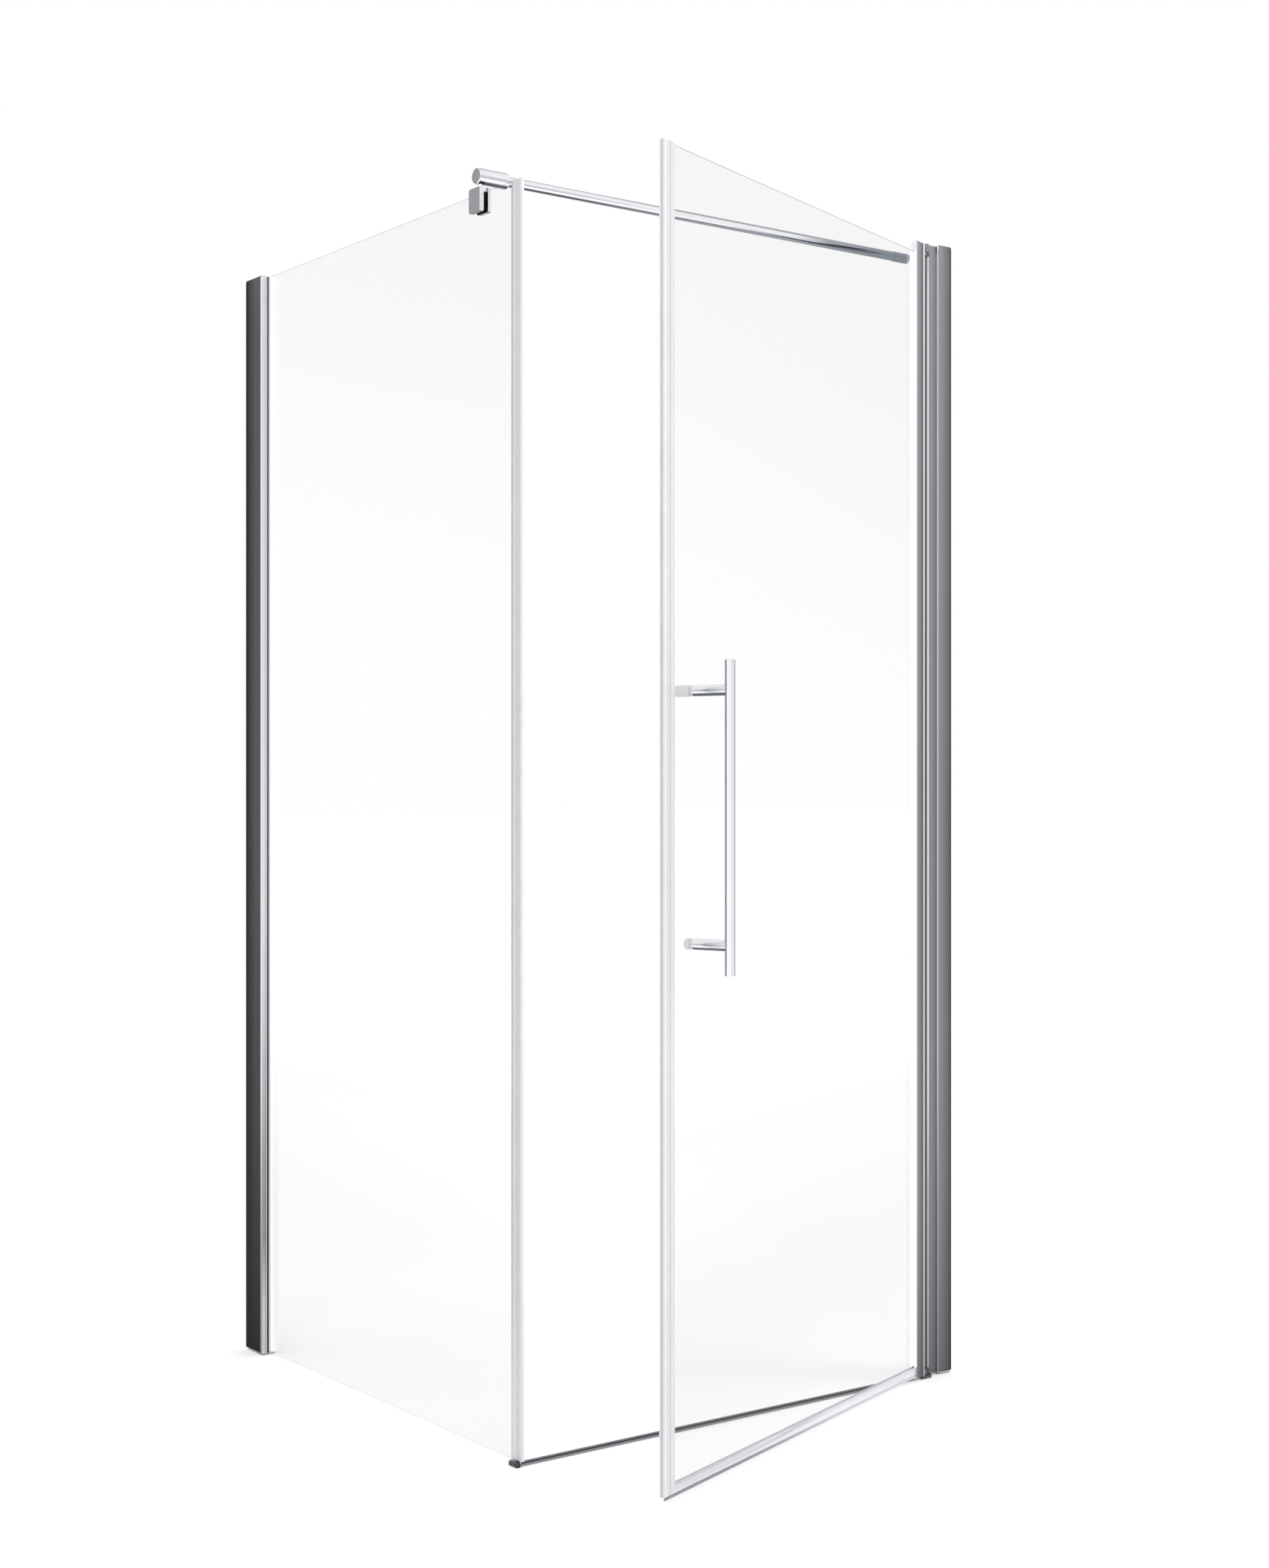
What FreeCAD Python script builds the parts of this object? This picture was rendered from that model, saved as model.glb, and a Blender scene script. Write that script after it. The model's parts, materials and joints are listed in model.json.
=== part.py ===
"""Corner shower enclosure: a glass pivot door, a fixed glass side panel and the bar that ties it to the wall.

Frame: millimetres, +Z up from the tray. The origin is the tray corner: X runs along the front to the
right wall, Y runs along the side panel to the rear wall. X = 0 is the outer face of the side glass and
Y = 0 is the middle of the closed door.

The door's own frame stands on the pivot axis: its x runs along the door to the free edge, its y points
out of the shower, and the whole door is turned to the angle at which it stands open.
"""
import FreeCAD, Part
import os
import re
import math
import Sketcher

SIZES = {
    # whole enclosure
    "front_width": 887, "side_depth": 865, "glass_thickness": 6,
    "pivot_setback": 62, "door_open_angle": 19.7, "half_turn": 180,
    "foot_height": 4, "overrun": 5, "cap_thickness": 2,
    # side panel and the profile that holds it to the rear wall
    "side_height": 1900, "side_glass_bottom": 6, "side_glass_front": 8, "side_glass_bite": 33,
    "side_profile_width": 30, "side_profile_depth": 60, "side_profile_wall": 1.6, "wall_gap": 2,
    "side_rim_width": 2, "side_rim_depth": 6, "side_rim_lead": 3,
    "side_pocket_depth": 35, "side_gasket_thickness": 3.2, "side_gasket_lead": 4, "side_gasket_depth": 24,
    "channel_depth": 25, "channel_clearance": 0.5, "channel_base": 1.8, "foot_inset": 3,
    "wall_hole_radius": 2.6,
    # screws that join each telescoping pair of profiles, with their caps
    "fixing_radius": 2, "fixing_length": 10, "fixing_head_radius": 4, "fixing_head_height": 1.4,
    "fixing_cap_radius": 5.5, "fixing_cap_height": 3, "fixing_inset": 13,
    # clear seal on the front edge of the side glass
    "seal_wall": 1.2, "side_seal_grip": 13.6, "side_fin_length": 11.5, "side_fin_width": 4,
    "side_seal_bottom": 8, "magnet_clearance": 0.2,
    # corner foot, threshold rail and sill strip on the tray
    "corner_foot_out": 9, "corner_foot_lead": 4, "corner_foot_back": 23,
    "corner_foot_round": 8, "corner_foot_nose": 3, "corner_foot_high": 6,
    "rail_depth": 12, "rail_height": 5.6, "rail_start": 2.2, "rail_mitre": 7, "rail_joint": 1.4,
    "rail_front_edge": 4, "rail_top_inset": 1.5, "rail_back_edge": 3, "rail_back_inset": 3,
    "rail_end_gap": 0.3, "sill_inset": 0.4,
    # pivot block on the tray and the lower pivot
    "block_width": 13, "block_height": 6, "block_left": 13.5, "block_right": 11,
    "pivot_radius": 2.5, "pivot_seat": 4.5, "pivot_reach": 9.4, "running_clearance": 0.05,
    "washer_radius": 5, "washer_height": 1.6, "bush_radius": 3.6, "bush_lift": 0.2, "bush_height": 8.2,
    "block_screw_radius": 1.8, "block_screw_head": 3.2, "block_screw_head_height": 1.5,
    "block_screw_inset": 5.5,
    # wall profile and pivot post at the right
    "wall_post_height": 1925, "wall_post_front": 2, "wall_post_depth": 28, "wall_post_width": 31.5,
    "post_front": 0.5, "post_depth": 27, "post_left": 7.5, "post_width": 16, "post_wall": 1.6,
    "post_drop": 18, "tongue_length": 30.5, "tongue_clearance": 0.5, "post_fixing_inset": 22,
    "post_lift": 9, "post_foot_lift": 0.3, "post_foot_inset": 1,
    # upper pivot
    "top_block_height": 14, "top_block_radius": 5.5, "plug_height": 10, "plug_clearance": 0.3,
    "top_pin_seat": 10, "top_pin_reach": 7, "top_bush_flange": 4.8, "top_bush_gap": 0.4,
    "top_screw_depth": 8, "top_screw_radius": 2, "top_screw_head": 3.6, "top_screw_head_height": 2,
    # door glass, hinge profile and its end caps
    "door_drop": 7.4, "door_glass_bottom": 21.7, "door_glass_start": 23, "door_glass_end": 802,
    "hinge_start": 15, "hinge_end": 44, "hinge_half": 5.4, "hinge_slot_half": 4, "hinge_back": 5,
    "hinge_web": 3, "bead_radius": 2.6, "hinge_bottom": 18, "cap_height": 18.4, "bottom_cap_height": 10,
    "cap_tongue_height": 5.4, "cap_tongue_radius": 5, "bead_end_gap": 0.2,
    "gasket_end": 50, "cover_end": 58.6, "cover_thickness": 1.6, "cover_rise": 15.4, "cover_return": 2.1,
    "cover_lift": 11,
    "cap_screw_radius": 1.2, "cap_screw_bite": 10,
    # clear seal with its magnet on the free edge of the door
    "edge_seal_start": 794, "edge_seal_end": 820.5, "edge_seal_bottom": 16, "edge_seal_rise": 3,
    "edge_seal_inner": 5,
    "edge_magnet_width": 7, "edge_magnet_thickness": 4,
    # seal under the door
    "bottom_seal_start": 47, "bottom_seal_top": 28.5, "bottom_seal_base": 17.5, "seal_stem": 1.2,
    "lip_top": 14.6, "lip_bottom": 10.5, "lip_root": 2.4, "lip_tip": 0.8, "lip_place": 2,
    "lip_end": 818, "drip_reach": 10.3, "drip_fall": 3.6, "clip_proud": 0.4, "clip_length": 2.4,
    # handle
    "handle_along": 742.5, "handle_out": 60, "handle_bottom": 736, "handle_top": 1182, "handle_radius": 7.5,
    "handle_low_post": 779.8, "handle_high_post": 1138.4, "post_radius": 8.2, "post_wrap": 4,
    "handle_washer": 1, "handle_end_round": 1.5, "handle_screw_radius": 3, "handle_screw_bite": 16,
    "glass_hole_radius": 4.5, "knob_length": 25, "knob_radius": 8.2, "knob_round": 2,
    "disc_length": 8, "knob_screw_bite": 5,
    # support bar with its glass clamp and wall socket
    "bar_setback": 113, "bar_neck": 6, "bar_radius": 8, "bar_wall": 1.2,
    "holder_radius": 12.5, "holder_start": 5, "holder_end": 52, "holder_shoulder": 6, "holder_edge": 1.2,
    "bar_start": 12, "bar_end_gap": 10,
    "clamp_width": 31, "clamp_grip": 29, "clamp_over": 8, "clamp_plate": 7.6, "clamp_round": 3,
    "clamp_gasket": 0.9, "clamp_inner": 5.5, "clamp_ledge": 7, "clamp_edge": 1,
    "clamp_screw_radius": 2, "clamp_screw_spread": 16, "clamp_screw_reach": 14, "clamp_screw_head": 3.4,
    "clamp_screw_head_height": 1.6, "stud_radius": 4, "stud_place": 2, "stud_seat": 5, "stud_bite": 6,
    "grub_radius": 2, "grub_inset": 15, "socket_radius": 8.7, "socket_length": 32, "socket_edge": 0.4,
    "grub_angle": 45,
}

# heights of the screws and of the wall holes along a profile, as shares of its length
SCREW_HEIGHT_SHARES = (0.08, 0.5, 0.92)
WALL_HOLE_SHARES = (0.1, 0.36, 0.64, 0.9)
# how far along and how far in the rounded shoulder of the bar holder runs, as shares of its size
SHOULDER_SHARES = ((0.6, 0.25), (0.9, 0.6))
NEARLY = 1e-6

# heights that follow from the sizes, named like them
HEIGHTS = {
    "post_top": "wall_post_height - post_drop",
    "door_top": "post_top - door_drop",
    "cover_top": "door_top + cover_rise",
    "edge_seal_top": "door_top + edge_seal_rise",
    "clamp_top": "side_height + clamp_over",
    "clamp_bottom": "side_height - clamp_grip",
    "bar_height": "clamp_top + bar_neck + holder_radius",
}

# places that several pieces share, as formulas of the sheet
MIDDLE = "(glass_thickness / 2)"
PIVOT = "(front_width - pivot_setback)"
SIDE_LEFT = f"({MIDDLE} - side_profile_width / 2)"
SIDE_RIGHT = f"({MIDDLE} + side_profile_width / 2)"
SIDE_BACK = "(side_depth - wall_gap)"
SIDE_FRONT = f"({SIDE_BACK} - side_profile_depth)"
POST_LEFT = f"({PIVOT} + post_left)"
POST_RIGHT = f"({POST_LEFT} + post_width)"
POST_BACK = "(post_front + post_depth)"
WALL_POST_LEFT = "(front_width - wall_post_width)"
WALL_POST_BACK = "(wall_post_front + wall_post_depth)"
WALL_POST_TOP = "(wall_post_height - cap_thickness)"
TOP_BLOCK_TOP = "(post_top + top_block_height)"
TOP_SCREW = (f"{POST_LEFT} + post_width / 2", f"{POST_BACK} - top_screw_depth", "post_top - plug_height / 2")
BAR_END = "(front_width - bar_end_gap)"
WASHER_TOP = "(block_height + washer_height)"
HANDLE_AXIS = f"({MIDDLE} + handle_out)"
CLAMP_INNER_FACE = "(glass_thickness + clamp_gasket)"

doc = FreeCAD.newDocument("corner_shower")
sheet = doc.addObject("Spreadsheet::Sheet", "sizes")
for row, (alias, number) in enumerate(SIZES.items(), start=1):
    sheet.set(f"A{row}", alias)
    sheet.set(f"B{row}", str(number))
    sheet.setAlias(f"B{row}", alias)
doc.recompute()

nodes = []


def bound(formula):
    """The formula with each size read from the sheet."""
    def read(word):
        name = word.group()
        if name in HEIGHTS:
            return f"({bound(HEIGHTS[name])})"
        return "sizes." + name if name in SIZES else name
    return re.sub(r"[a-z][a-z_]+", read, formula)


def place(piece, x="0", y="0", z="0"):
    for part_of_place, formula in zip("xyz", (x, y, z)):
        if formula != "0":
            piece.setExpression("Placement.Base." + part_of_place, bound(formula))
    return piece


def block(x, y, z):
    """A box between two formulas along each axis."""
    piece = doc.addObject("Part::Box", "block")
    for side, (low, high) in zip(("Length", "Width", "Height"), (x, y, z)):
        piece.setExpression(side, bound(f"({high}) - ({low})"))
    return place(piece, x[0], y[0], z[0])


def rod(axis, start, radius, length):
    """A round bar that starts at a point and runs along X, Y or Z."""
    piece = doc.addObject("Part::Cylinder", "rod")
    turns = {"X": FreeCAD.Rotation(FreeCAD.Vector(0, 1, 0), 90),
             "Y": FreeCAD.Rotation(FreeCAD.Vector(1, 0, 0), -90),
             "Z": FreeCAD.Rotation()}
    piece.Placement.Rotation = turns[axis]
    piece.setExpression("Radius", bound(radius))
    piece.setExpression("Height", bound(length))
    return place(piece, *start)


def join(*pieces):
    union = doc.addObject("Part::MultiFuse", "join")
    union.Shapes = list(pieces)
    union.Refine = True
    return union


def cut(base, *tools):
    rest = doc.addObject("Part::Cut", "cut")
    rest.Base = base
    rest.Tool = tools[0] if len(tools) == 1 else join(*tools)
    return rest


def ring(axis, start, outer, inner, length):
    return cut(rod(axis, start, outer, length), rod(axis, start, inner, length))


def section(corners, plane, name):
    """A body with a closed outline of straight sides, every corner bound to the sheet."""
    body = doc.addObject("PartDesign::Body", name)
    sketch = body.newObject("Sketcher::SketchObject", name + "_outline")
    sketch.AttachmentSupport = (next(f for f in body.Origin.OriginFeatures if f.Role == plane), "")
    sketch.MapMode = "FlatFace"
    count = len(corners)
    ring_points = [FreeCAD.Vector(math.cos(math.tau * i / count), math.sin(math.tau * i / count), 0)
                   for i in range(count)]
    for i in range(count):
        sketch.addGeometry(Part.LineSegment(ring_points[i], ring_points[(i + 1) % count]), False)
    for i in range(count):
        sketch.addConstraint(Sketcher.Constraint("Coincident", i, 2, (i + 1) % count, 1))
    for i, corner in enumerate(corners):
        for direction, formula, start in zip("XY", corner, ring_points[i]):
            index = sketch.addConstraint(Sketcher.Constraint("Distance" + direction, -1, 1, i, 1, start))
            sketch.setExpression(f"Constraints[{index}]", bound(formula))
    return body, sketch


def pad(corners, plane, length, name, rounds=(), reverse=False):
    """An outline drawn out to a length, with its edges along the run rounded where a radius is given."""
    body, sketch = section(corners, plane, name)
    run = body.newObject("PartDesign::Pad", name + "_run")
    run.Profile = sketch
    run.Reversed = reverse
    run.setExpression("Length", bound(length))
    doc.recompute()
    for radius, picked in rounds:
        base = body.Tip
        edges = [f"Edge{i + 1}" for i, edge in enumerate(base.Shape.Edges) if picked(edge)]
        soft = body.newObject("PartDesign::Fillet", name + "_round")
        soft.Base = (base, edges)
        soft.setExpression("Radius", bound(radius))
        body.Tip = soft
        doc.recompute()
    return body


def turned(corners, name, facing=FreeCAD.Rotation()):
    """An outline in length and radius, turned about the x axis and then faced another way."""
    body, sketch = section(corners, "XY_Plane", name)
    turn = body.newObject("PartDesign::Revolution", name + "_turn")
    turn.Profile = sketch
    turn.ReferenceAxis = (sketch, ["H_Axis"])
    turn.Angle = 360
    body.Placement.Rotation = facing
    doc.recompute()
    return body


def node(label, *pieces, door=False):
    """One sub-part of the assembly; a door piece stands on the pivot axis, turned with the door."""
    group = doc.addObject("Part::Compound", label)
    group.Label = label
    group.Links = list(pieces)
    if door:
        place(group, PIVOT)
        group.setExpression("Placement.Rotation.Angle", bound("half_turn + door_open_angle"))
    nodes.append(group)
    return group


def along(direction):
    """Picks the straight edges of a shape that run in one direction."""
    def picked(edge):
        run = edge.Vertexes[-1].Point - edge.Vertexes[0].Point
        return run.Length > 0 and abs(run.normalize().dot(direction)) > 1 - NEARLY
    return picked


def along_at(direction, test):
    """Picks the straight edges in one direction whose middle passes a test."""
    straight = along(direction)
    return lambda edge: straight(edge) and test(edge.CenterOfMass)


X_AXIS, Y_AXIS, Z_AXIS = FreeCAD.Vector(1, 0, 0), FreeCAD.Vector(0, 1, 0), FreeCAD.Vector(0, 0, 1)


def heights_between(low, high, shares=SCREW_HEIGHT_SHARES):
    return [f"({low}) + (({high}) - ({low})) * {share}" for share in shares]


# side panel


def side_fixing_holes():
    return [rod("X", (MIDDLE, f"{SIDE_BACK} - fixing_inset", height), "fixing_radius", "side_profile_width")
            for height in heights_between("foot_height", "side_height")]


def side_wall_profile():
    # channel against the rear wall, open towards the glass, with the holes for its wall screws
    left = f"({SIDE_LEFT} + side_profile_wall + channel_clearance)"
    right = f"({SIDE_RIGHT} - side_profile_wall - channel_clearance)"
    front = "(side_depth - channel_depth)"
    base = "(side_depth - channel_base)"
    channel = pad([(left, front), (f"{left} + side_profile_wall", front),
                   (f"{left} + side_profile_wall", base), (f"{right} - side_profile_wall", base),
                   (f"{right} - side_profile_wall", front), (right, front),
                   (right, "side_depth"), (left, "side_depth")],
                  "XY_Plane", "side_height - foot_height", "side_channel")
    place(channel, z="foot_height")
    holes = [rod("Y", (MIDDLE, f"{base} - overrun", height), "wall_hole_radius", "channel_base + 2 * overrun")
             for height in heights_between("foot_height", "side_height", WALL_HOLE_SHARES)]
    node("side_wall_profile", cut(channel, *holes, *side_fixing_holes()))


def side_glass_profile():
    # shell that slides over the channel and holds the glass in a pocket
    pocket_left = "(0 - side_gasket_thickness)"
    pocket_right = "(glass_thickness + side_gasket_thickness)"
    pocket_back = f"({SIDE_FRONT} + side_pocket_depth)"
    skin = "side_profile_wall"
    rim_front = f"({SIDE_FRONT} - side_rim_lead)"
    outline = [(f"{SIDE_LEFT} - side_rim_width", rim_front), (SIDE_LEFT, rim_front), (SIDE_LEFT, SIDE_FRONT),
               (pocket_left, SIDE_FRONT), (pocket_left, pocket_back), (pocket_right, pocket_back),
               (pocket_right, SIDE_FRONT), (SIDE_RIGHT, SIDE_FRONT), (SIDE_RIGHT, rim_front),
               (f"{SIDE_RIGHT} + side_rim_width", rim_front),
               (f"{SIDE_RIGHT} + side_rim_width", f"{rim_front} + side_rim_depth"),
               (SIDE_RIGHT, f"{rim_front} + side_rim_depth"), (SIDE_RIGHT, SIDE_BACK),
               (f"{SIDE_RIGHT} - {skin}", SIDE_BACK), (f"{SIDE_RIGHT} - {skin}", f"{SIDE_FRONT} + {skin}"),
               (f"{pocket_right} + {skin}", f"{SIDE_FRONT} + {skin}"),
               (f"{pocket_right} + {skin}", f"{pocket_back} + {skin}"),
               (f"{pocket_left} - {skin}", f"{pocket_back} + {skin}"),
               (f"{pocket_left} - {skin}", f"{SIDE_FRONT} + {skin}"),
               (f"{SIDE_LEFT} + {skin}", f"{SIDE_FRONT} + {skin}"), (f"{SIDE_LEFT} + {skin}", SIDE_BACK),
               (SIDE_LEFT, SIDE_BACK), (SIDE_LEFT, f"{rim_front} + side_rim_depth"),
               (f"{SIDE_LEFT} - side_rim_width", f"{rim_front} + side_rim_depth")]
    shell = place(pad(outline, "XY_Plane", "side_height - foot_height", "side_shell"), z="foot_height")
    node("side_glass_profile", cut(shell, *side_fixing_holes()))


def fixings(axis, places, inward, label):
    """Screws with round heads and their caps: where the heads sit, and where the shanks end inside."""
    screws, caps = [], []
    for face, end in zip(places, inward):
        shank = rod(axis, end, "fixing_radius", "fixing_length + fixing_head_height")
        head = rod(axis, face, "fixing_head_radius", "fixing_head_height")
        screws.append(join(shank, head))
        caps.append(cut(rod(axis, face, "fixing_cap_radius", "fixing_cap_height"), head))
    node(label + "_fixing_screws", *screws)
    node(label + "_fixing_caps", *caps)


def side_fixings():
    y = f"{SIDE_BACK} - fixing_inset"
    heights = heights_between("foot_height", "side_height")
    fixings("X", [(SIDE_RIGHT, y, height) for height in heights],
            [(f"{SIDE_RIGHT} - fixing_length", y, height) for height in heights], "side")


def side_gaskets():
    # the outer one reaches forward past the shell, the inner one ends flush with it
    for label, low, front in (("side_gasket_outer", "0 - side_gasket_thickness",
                               f"({SIDE_FRONT} - side_gasket_lead)"),
                              ("side_gasket_inner", "glass_thickness", SIDE_FRONT)):
        node(label, block((low, f"{low} + side_gasket_thickness"), (front, f"{front} + side_gasket_depth"),
                          ("foot_height", "side_height")))


def side_profile_ends():
    x = (f"{SIDE_LEFT} + foot_inset", f"{SIDE_RIGHT} - foot_inset")
    y = (f"{SIDE_FRONT} + foot_inset", f"{SIDE_BACK} - foot_inset")
    node("side_profile_foot", block(x, y, ("0", "foot_height")))
    outline = [(SIDE_LEFT, SIDE_FRONT), (SIDE_RIGHT, SIDE_FRONT),
               (SIDE_RIGHT, SIDE_BACK), (SIDE_LEFT, SIDE_BACK)]
    cap = pad(outline, "XY_Plane", "cap_thickness", "side_cap", [("cap_thickness", along(Z_AXIS))])
    node("side_profile_cap", place(cap, z="side_height"))


def side_glass():
    node("side_glass", block(("0", "glass_thickness"), ("side_glass_front", f"{SIDE_BACK} - side_glass_bite"),
                             ("side_glass_bottom", "side_height")))


def side_edge_seal():
    # clear strip that grips the glass edge and reaches forward as a hollow fin with a magnet inside
    grip_back = "(side_glass_front + side_seal_grip)"
    web = "(side_glass_front - seal_wall)"
    tip = f"({web} - side_fin_length)"
    outline = [("0", grip_back), ("0 - seal_wall", grip_back), ("0 - seal_wall", web), ("0", web), ("0", tip),
               ("side_fin_width", tip), ("side_fin_width", web), ("glass_thickness + seal_wall", web),
               ("glass_thickness + seal_wall", grip_back), ("glass_thickness", grip_back),
               ("glass_thickness", "side_glass_front"), ("0", "side_glass_front")]
    strip = pad(outline, "XY_Plane", "side_height - side_seal_bottom", "side_strip")
    place(strip, z="side_seal_bottom")
    hollow_x = ("seal_wall", "side_fin_width - seal_wall")
    hollow_y = (f"{tip} + seal_wall", web)
    hollow = block(hollow_x, hollow_y, ("side_seal_bottom - overrun", "side_height + overrun"))
    node("side_edge_seal", cut(strip, hollow))
    node("side_edge_magnet", block(hollow_x, (hollow_y[0], f"{web} - magnet_clearance"),
                                   ("side_seal_bottom + magnet_clearance", "side_height - magnet_clearance")))


# tray line


def corner_foot():
    # low curved shoe under the front corner of the side glass, mitred to the rail
    slope = "(rail_mitre / rail_depth)"
    joint = "(rail_start - rail_joint)"
    outline = [("0 - corner_foot_out", "0 - corner_foot_lead"), (f"{joint} - corner_foot_lead * {slope}",
                                                                "0 - corner_foot_lead"),
               (f"{joint} + rail_depth * {slope}", "rail_depth"), (f"{joint} + rail_depth * {slope}",
                                                                  "corner_foot_back"),
               ("0 - corner_foot_out", "corner_foot_back")]
    shoe = pad(outline, "XY_Plane", "corner_foot_high", "shoe",
               [("corner_foot_round", along_at(Z_AXIS, lambda p: p.x < 0 < p.y)),
                ("corner_foot_nose",
                 along_at(Z_AXIS, lambda p: p.x < -SIZES["corner_foot_lead"] and p.y < 0))])
    node("corner_foot", shoe)


def threshold_rail():
    # low rail along the front of the tray, cut slantwise at both ends
    body = pad([("0", "0"), ("rail_depth", "0"), ("rail_depth", "rail_back_edge"),
                ("rail_depth - rail_back_inset", "rail_height"), ("rail_top_inset", "rail_height"),
                ("0", "rail_front_edge")], "YZ_Plane", PIVOT, "rail_bar")
    slope = "(rail_mitre / rail_depth)"
    end = f"({PIVOT} - block_left - rail_end_gap - block_width / 2 * {slope})"
    keep = pad([("rail_start", "0"), (end, "0"), (f"{end} + rail_mitre", "rail_depth"),
                (f"rail_start + rail_depth * {slope}", "rail_depth")], "XY_Plane", "rail_height", "rail_plan")
    both = doc.addObject("Part::MultiCommon", "rail_cut")
    both.Shapes = [body, keep]
    node("threshold_rail", both)


def side_bottom_strip():
    # clear sill seal that closes the slit between the side glass and the tray
    node("side_bottom_strip", block(("sill_inset", "glass_thickness - sill_inset"),
                                    ("corner_foot_back", f"{SIDE_FRONT}"), ("0", "side_glass_bottom")))


def bottom_pivot():
    half = "(block_width / 2)"
    body = join(block((f"{PIVOT} - block_left", f"{PIVOT} + block_right - {half}"), (f"0 - {half}", half),
                      ("0", "block_height")),
                rod("Z", (f"{PIVOT} + block_right - {half}", "0", "0"), half, "block_height"))
    screw_x = f"{PIVOT} - block_left + block_screw_inset"
    seat = rod("Z", (PIVOT, "0", "block_height - pivot_seat"), "pivot_radius", "pivot_seat + overrun")
    head_low = "(block_height - block_screw_head_height)"
    shank = rod("Z", (screw_x, "0", "0"), "block_screw_radius", "block_height")
    head = rod("Z", (screw_x, "0", head_low), "block_screw_head", "block_screw_head_height")
    screw = join(shank, head)
    node("bottom_pivot_block", cut(body, seat, screw))
    node("pivot_block_screw", screw)
    node("bottom_pivot_pin", rod("Z", (PIVOT, "0", "block_height - pivot_seat"), "pivot_radius",
                                 "pivot_seat + pivot_reach"))
    node("pivot_washer", ring("Z", (PIVOT, "0", "block_height"), "washer_radius",
                              "pivot_radius + running_clearance", "washer_height"))


# profiles at the right wall


def post_fixing_holes():
    return [rod("Y", ("front_width - post_fixing_inset", f"{WALL_POST_BACK} - fixing_length", height),
                "fixing_radius", "fixing_length + overrun")
            for height in heights_between("foot_height", WALL_POST_TOP)]


def door_wall_profile():
    inner_front = "(wall_post_front + post_wall)"
    inner_back = f"({WALL_POST_BACK} - post_wall)"
    outline = [(WALL_POST_LEFT, "wall_post_front"), ("front_width", "wall_post_front"),
               ("front_width", WALL_POST_BACK), (WALL_POST_LEFT, WALL_POST_BACK),
               (WALL_POST_LEFT, inner_back), ("front_width - post_wall", inner_back),
               ("front_width - post_wall", inner_front), (WALL_POST_LEFT, inner_front)]
    channel = pad(outline, "XY_Plane", f"{WALL_POST_TOP} - foot_height", "wall_channel")
    place(channel, z="foot_height")
    middle = "wall_post_front + wall_post_depth / 2"
    heights = heights_between("foot_height", WALL_POST_TOP, WALL_HOLE_SHARES)
    holes = [rod("X", ("front_width - post_wall - overrun", middle, height), "wall_hole_radius",
                 "post_wall + 2 * overrun") for height in heights]
    node("door_wall_profile", cut(channel, *holes, *post_fixing_holes()))
    cap = pad([(WALL_POST_LEFT, "wall_post_front"), ("front_width", "wall_post_front"),
               ("front_width", WALL_POST_BACK), (WALL_POST_LEFT, WALL_POST_BACK)],
              "XY_Plane", "cap_thickness", "wall_cap", [("cap_thickness", along(Z_AXIS))])
    node("door_profile_cap", place(cap, z=WALL_POST_TOP))
    # end plug that stands on the tray and reaches up inside the channel, under the tongues of the post
    node("door_profile_foot", block((f"{WALL_POST_LEFT} + foot_inset", "front_width - post_wall"),
                                    (inner_front, inner_back), ("0", "post_lift - post_foot_lift")))


def post_profile():
    # hollow pivot post with two tongues that slide into the wall profile
    tongue_front = "(wall_post_front + post_wall + tongue_clearance)"
    end = f"({POST_RIGHT} + tongue_length)"
    outline = [(POST_LEFT, "post_front"), (POST_RIGHT, "post_front"), (POST_RIGHT, tongue_front),
               (end, tongue_front), (end, f"{tongue_front} + post_wall"),
               (POST_RIGHT, f"{tongue_front} + post_wall"), (POST_RIGHT, f"{POST_BACK} - post_wall"),
               (end, f"{POST_BACK} - post_wall"), (end, POST_BACK), (POST_LEFT, POST_BACK)]
    solid = place(pad(outline, "XY_Plane", "post_top - post_lift", "post_solid"), z="post_lift")
    hollow = block((f"{POST_LEFT} + post_wall", f"{POST_RIGHT} - post_wall"),
                   ("post_front + post_wall", f"{POST_BACK} - post_wall"),
                   ("post_lift - overrun", "post_top + overrun"))
    screw = rod("Y", TOP_SCREW, "top_screw_radius", "top_screw_depth + overrun")
    node("post_profile", cut(solid, hollow, *post_fixing_holes(), screw))
    x = (f"{POST_LEFT} + post_foot_inset", f"{POST_RIGHT} - post_foot_inset")
    back = f"{POST_BACK} - post_foot_inset"
    upper = block(x, ("post_front + post_foot_inset", back), ("block_height + post_foot_lift", "post_lift"))
    lower = block(x, ("block_width / 2 + post_foot_inset", back), ("0", "post_lift"))
    node("post_foot", join(upper, lower))


def door_fixings():
    x = "front_width - post_fixing_inset"
    heights = heights_between("foot_height", WALL_POST_TOP)
    fixings("Y", [(x, WALL_POST_BACK, height) for height in heights],
            [(x, f"{WALL_POST_BACK} - fixing_length", height) for height in heights], "door")


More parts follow.
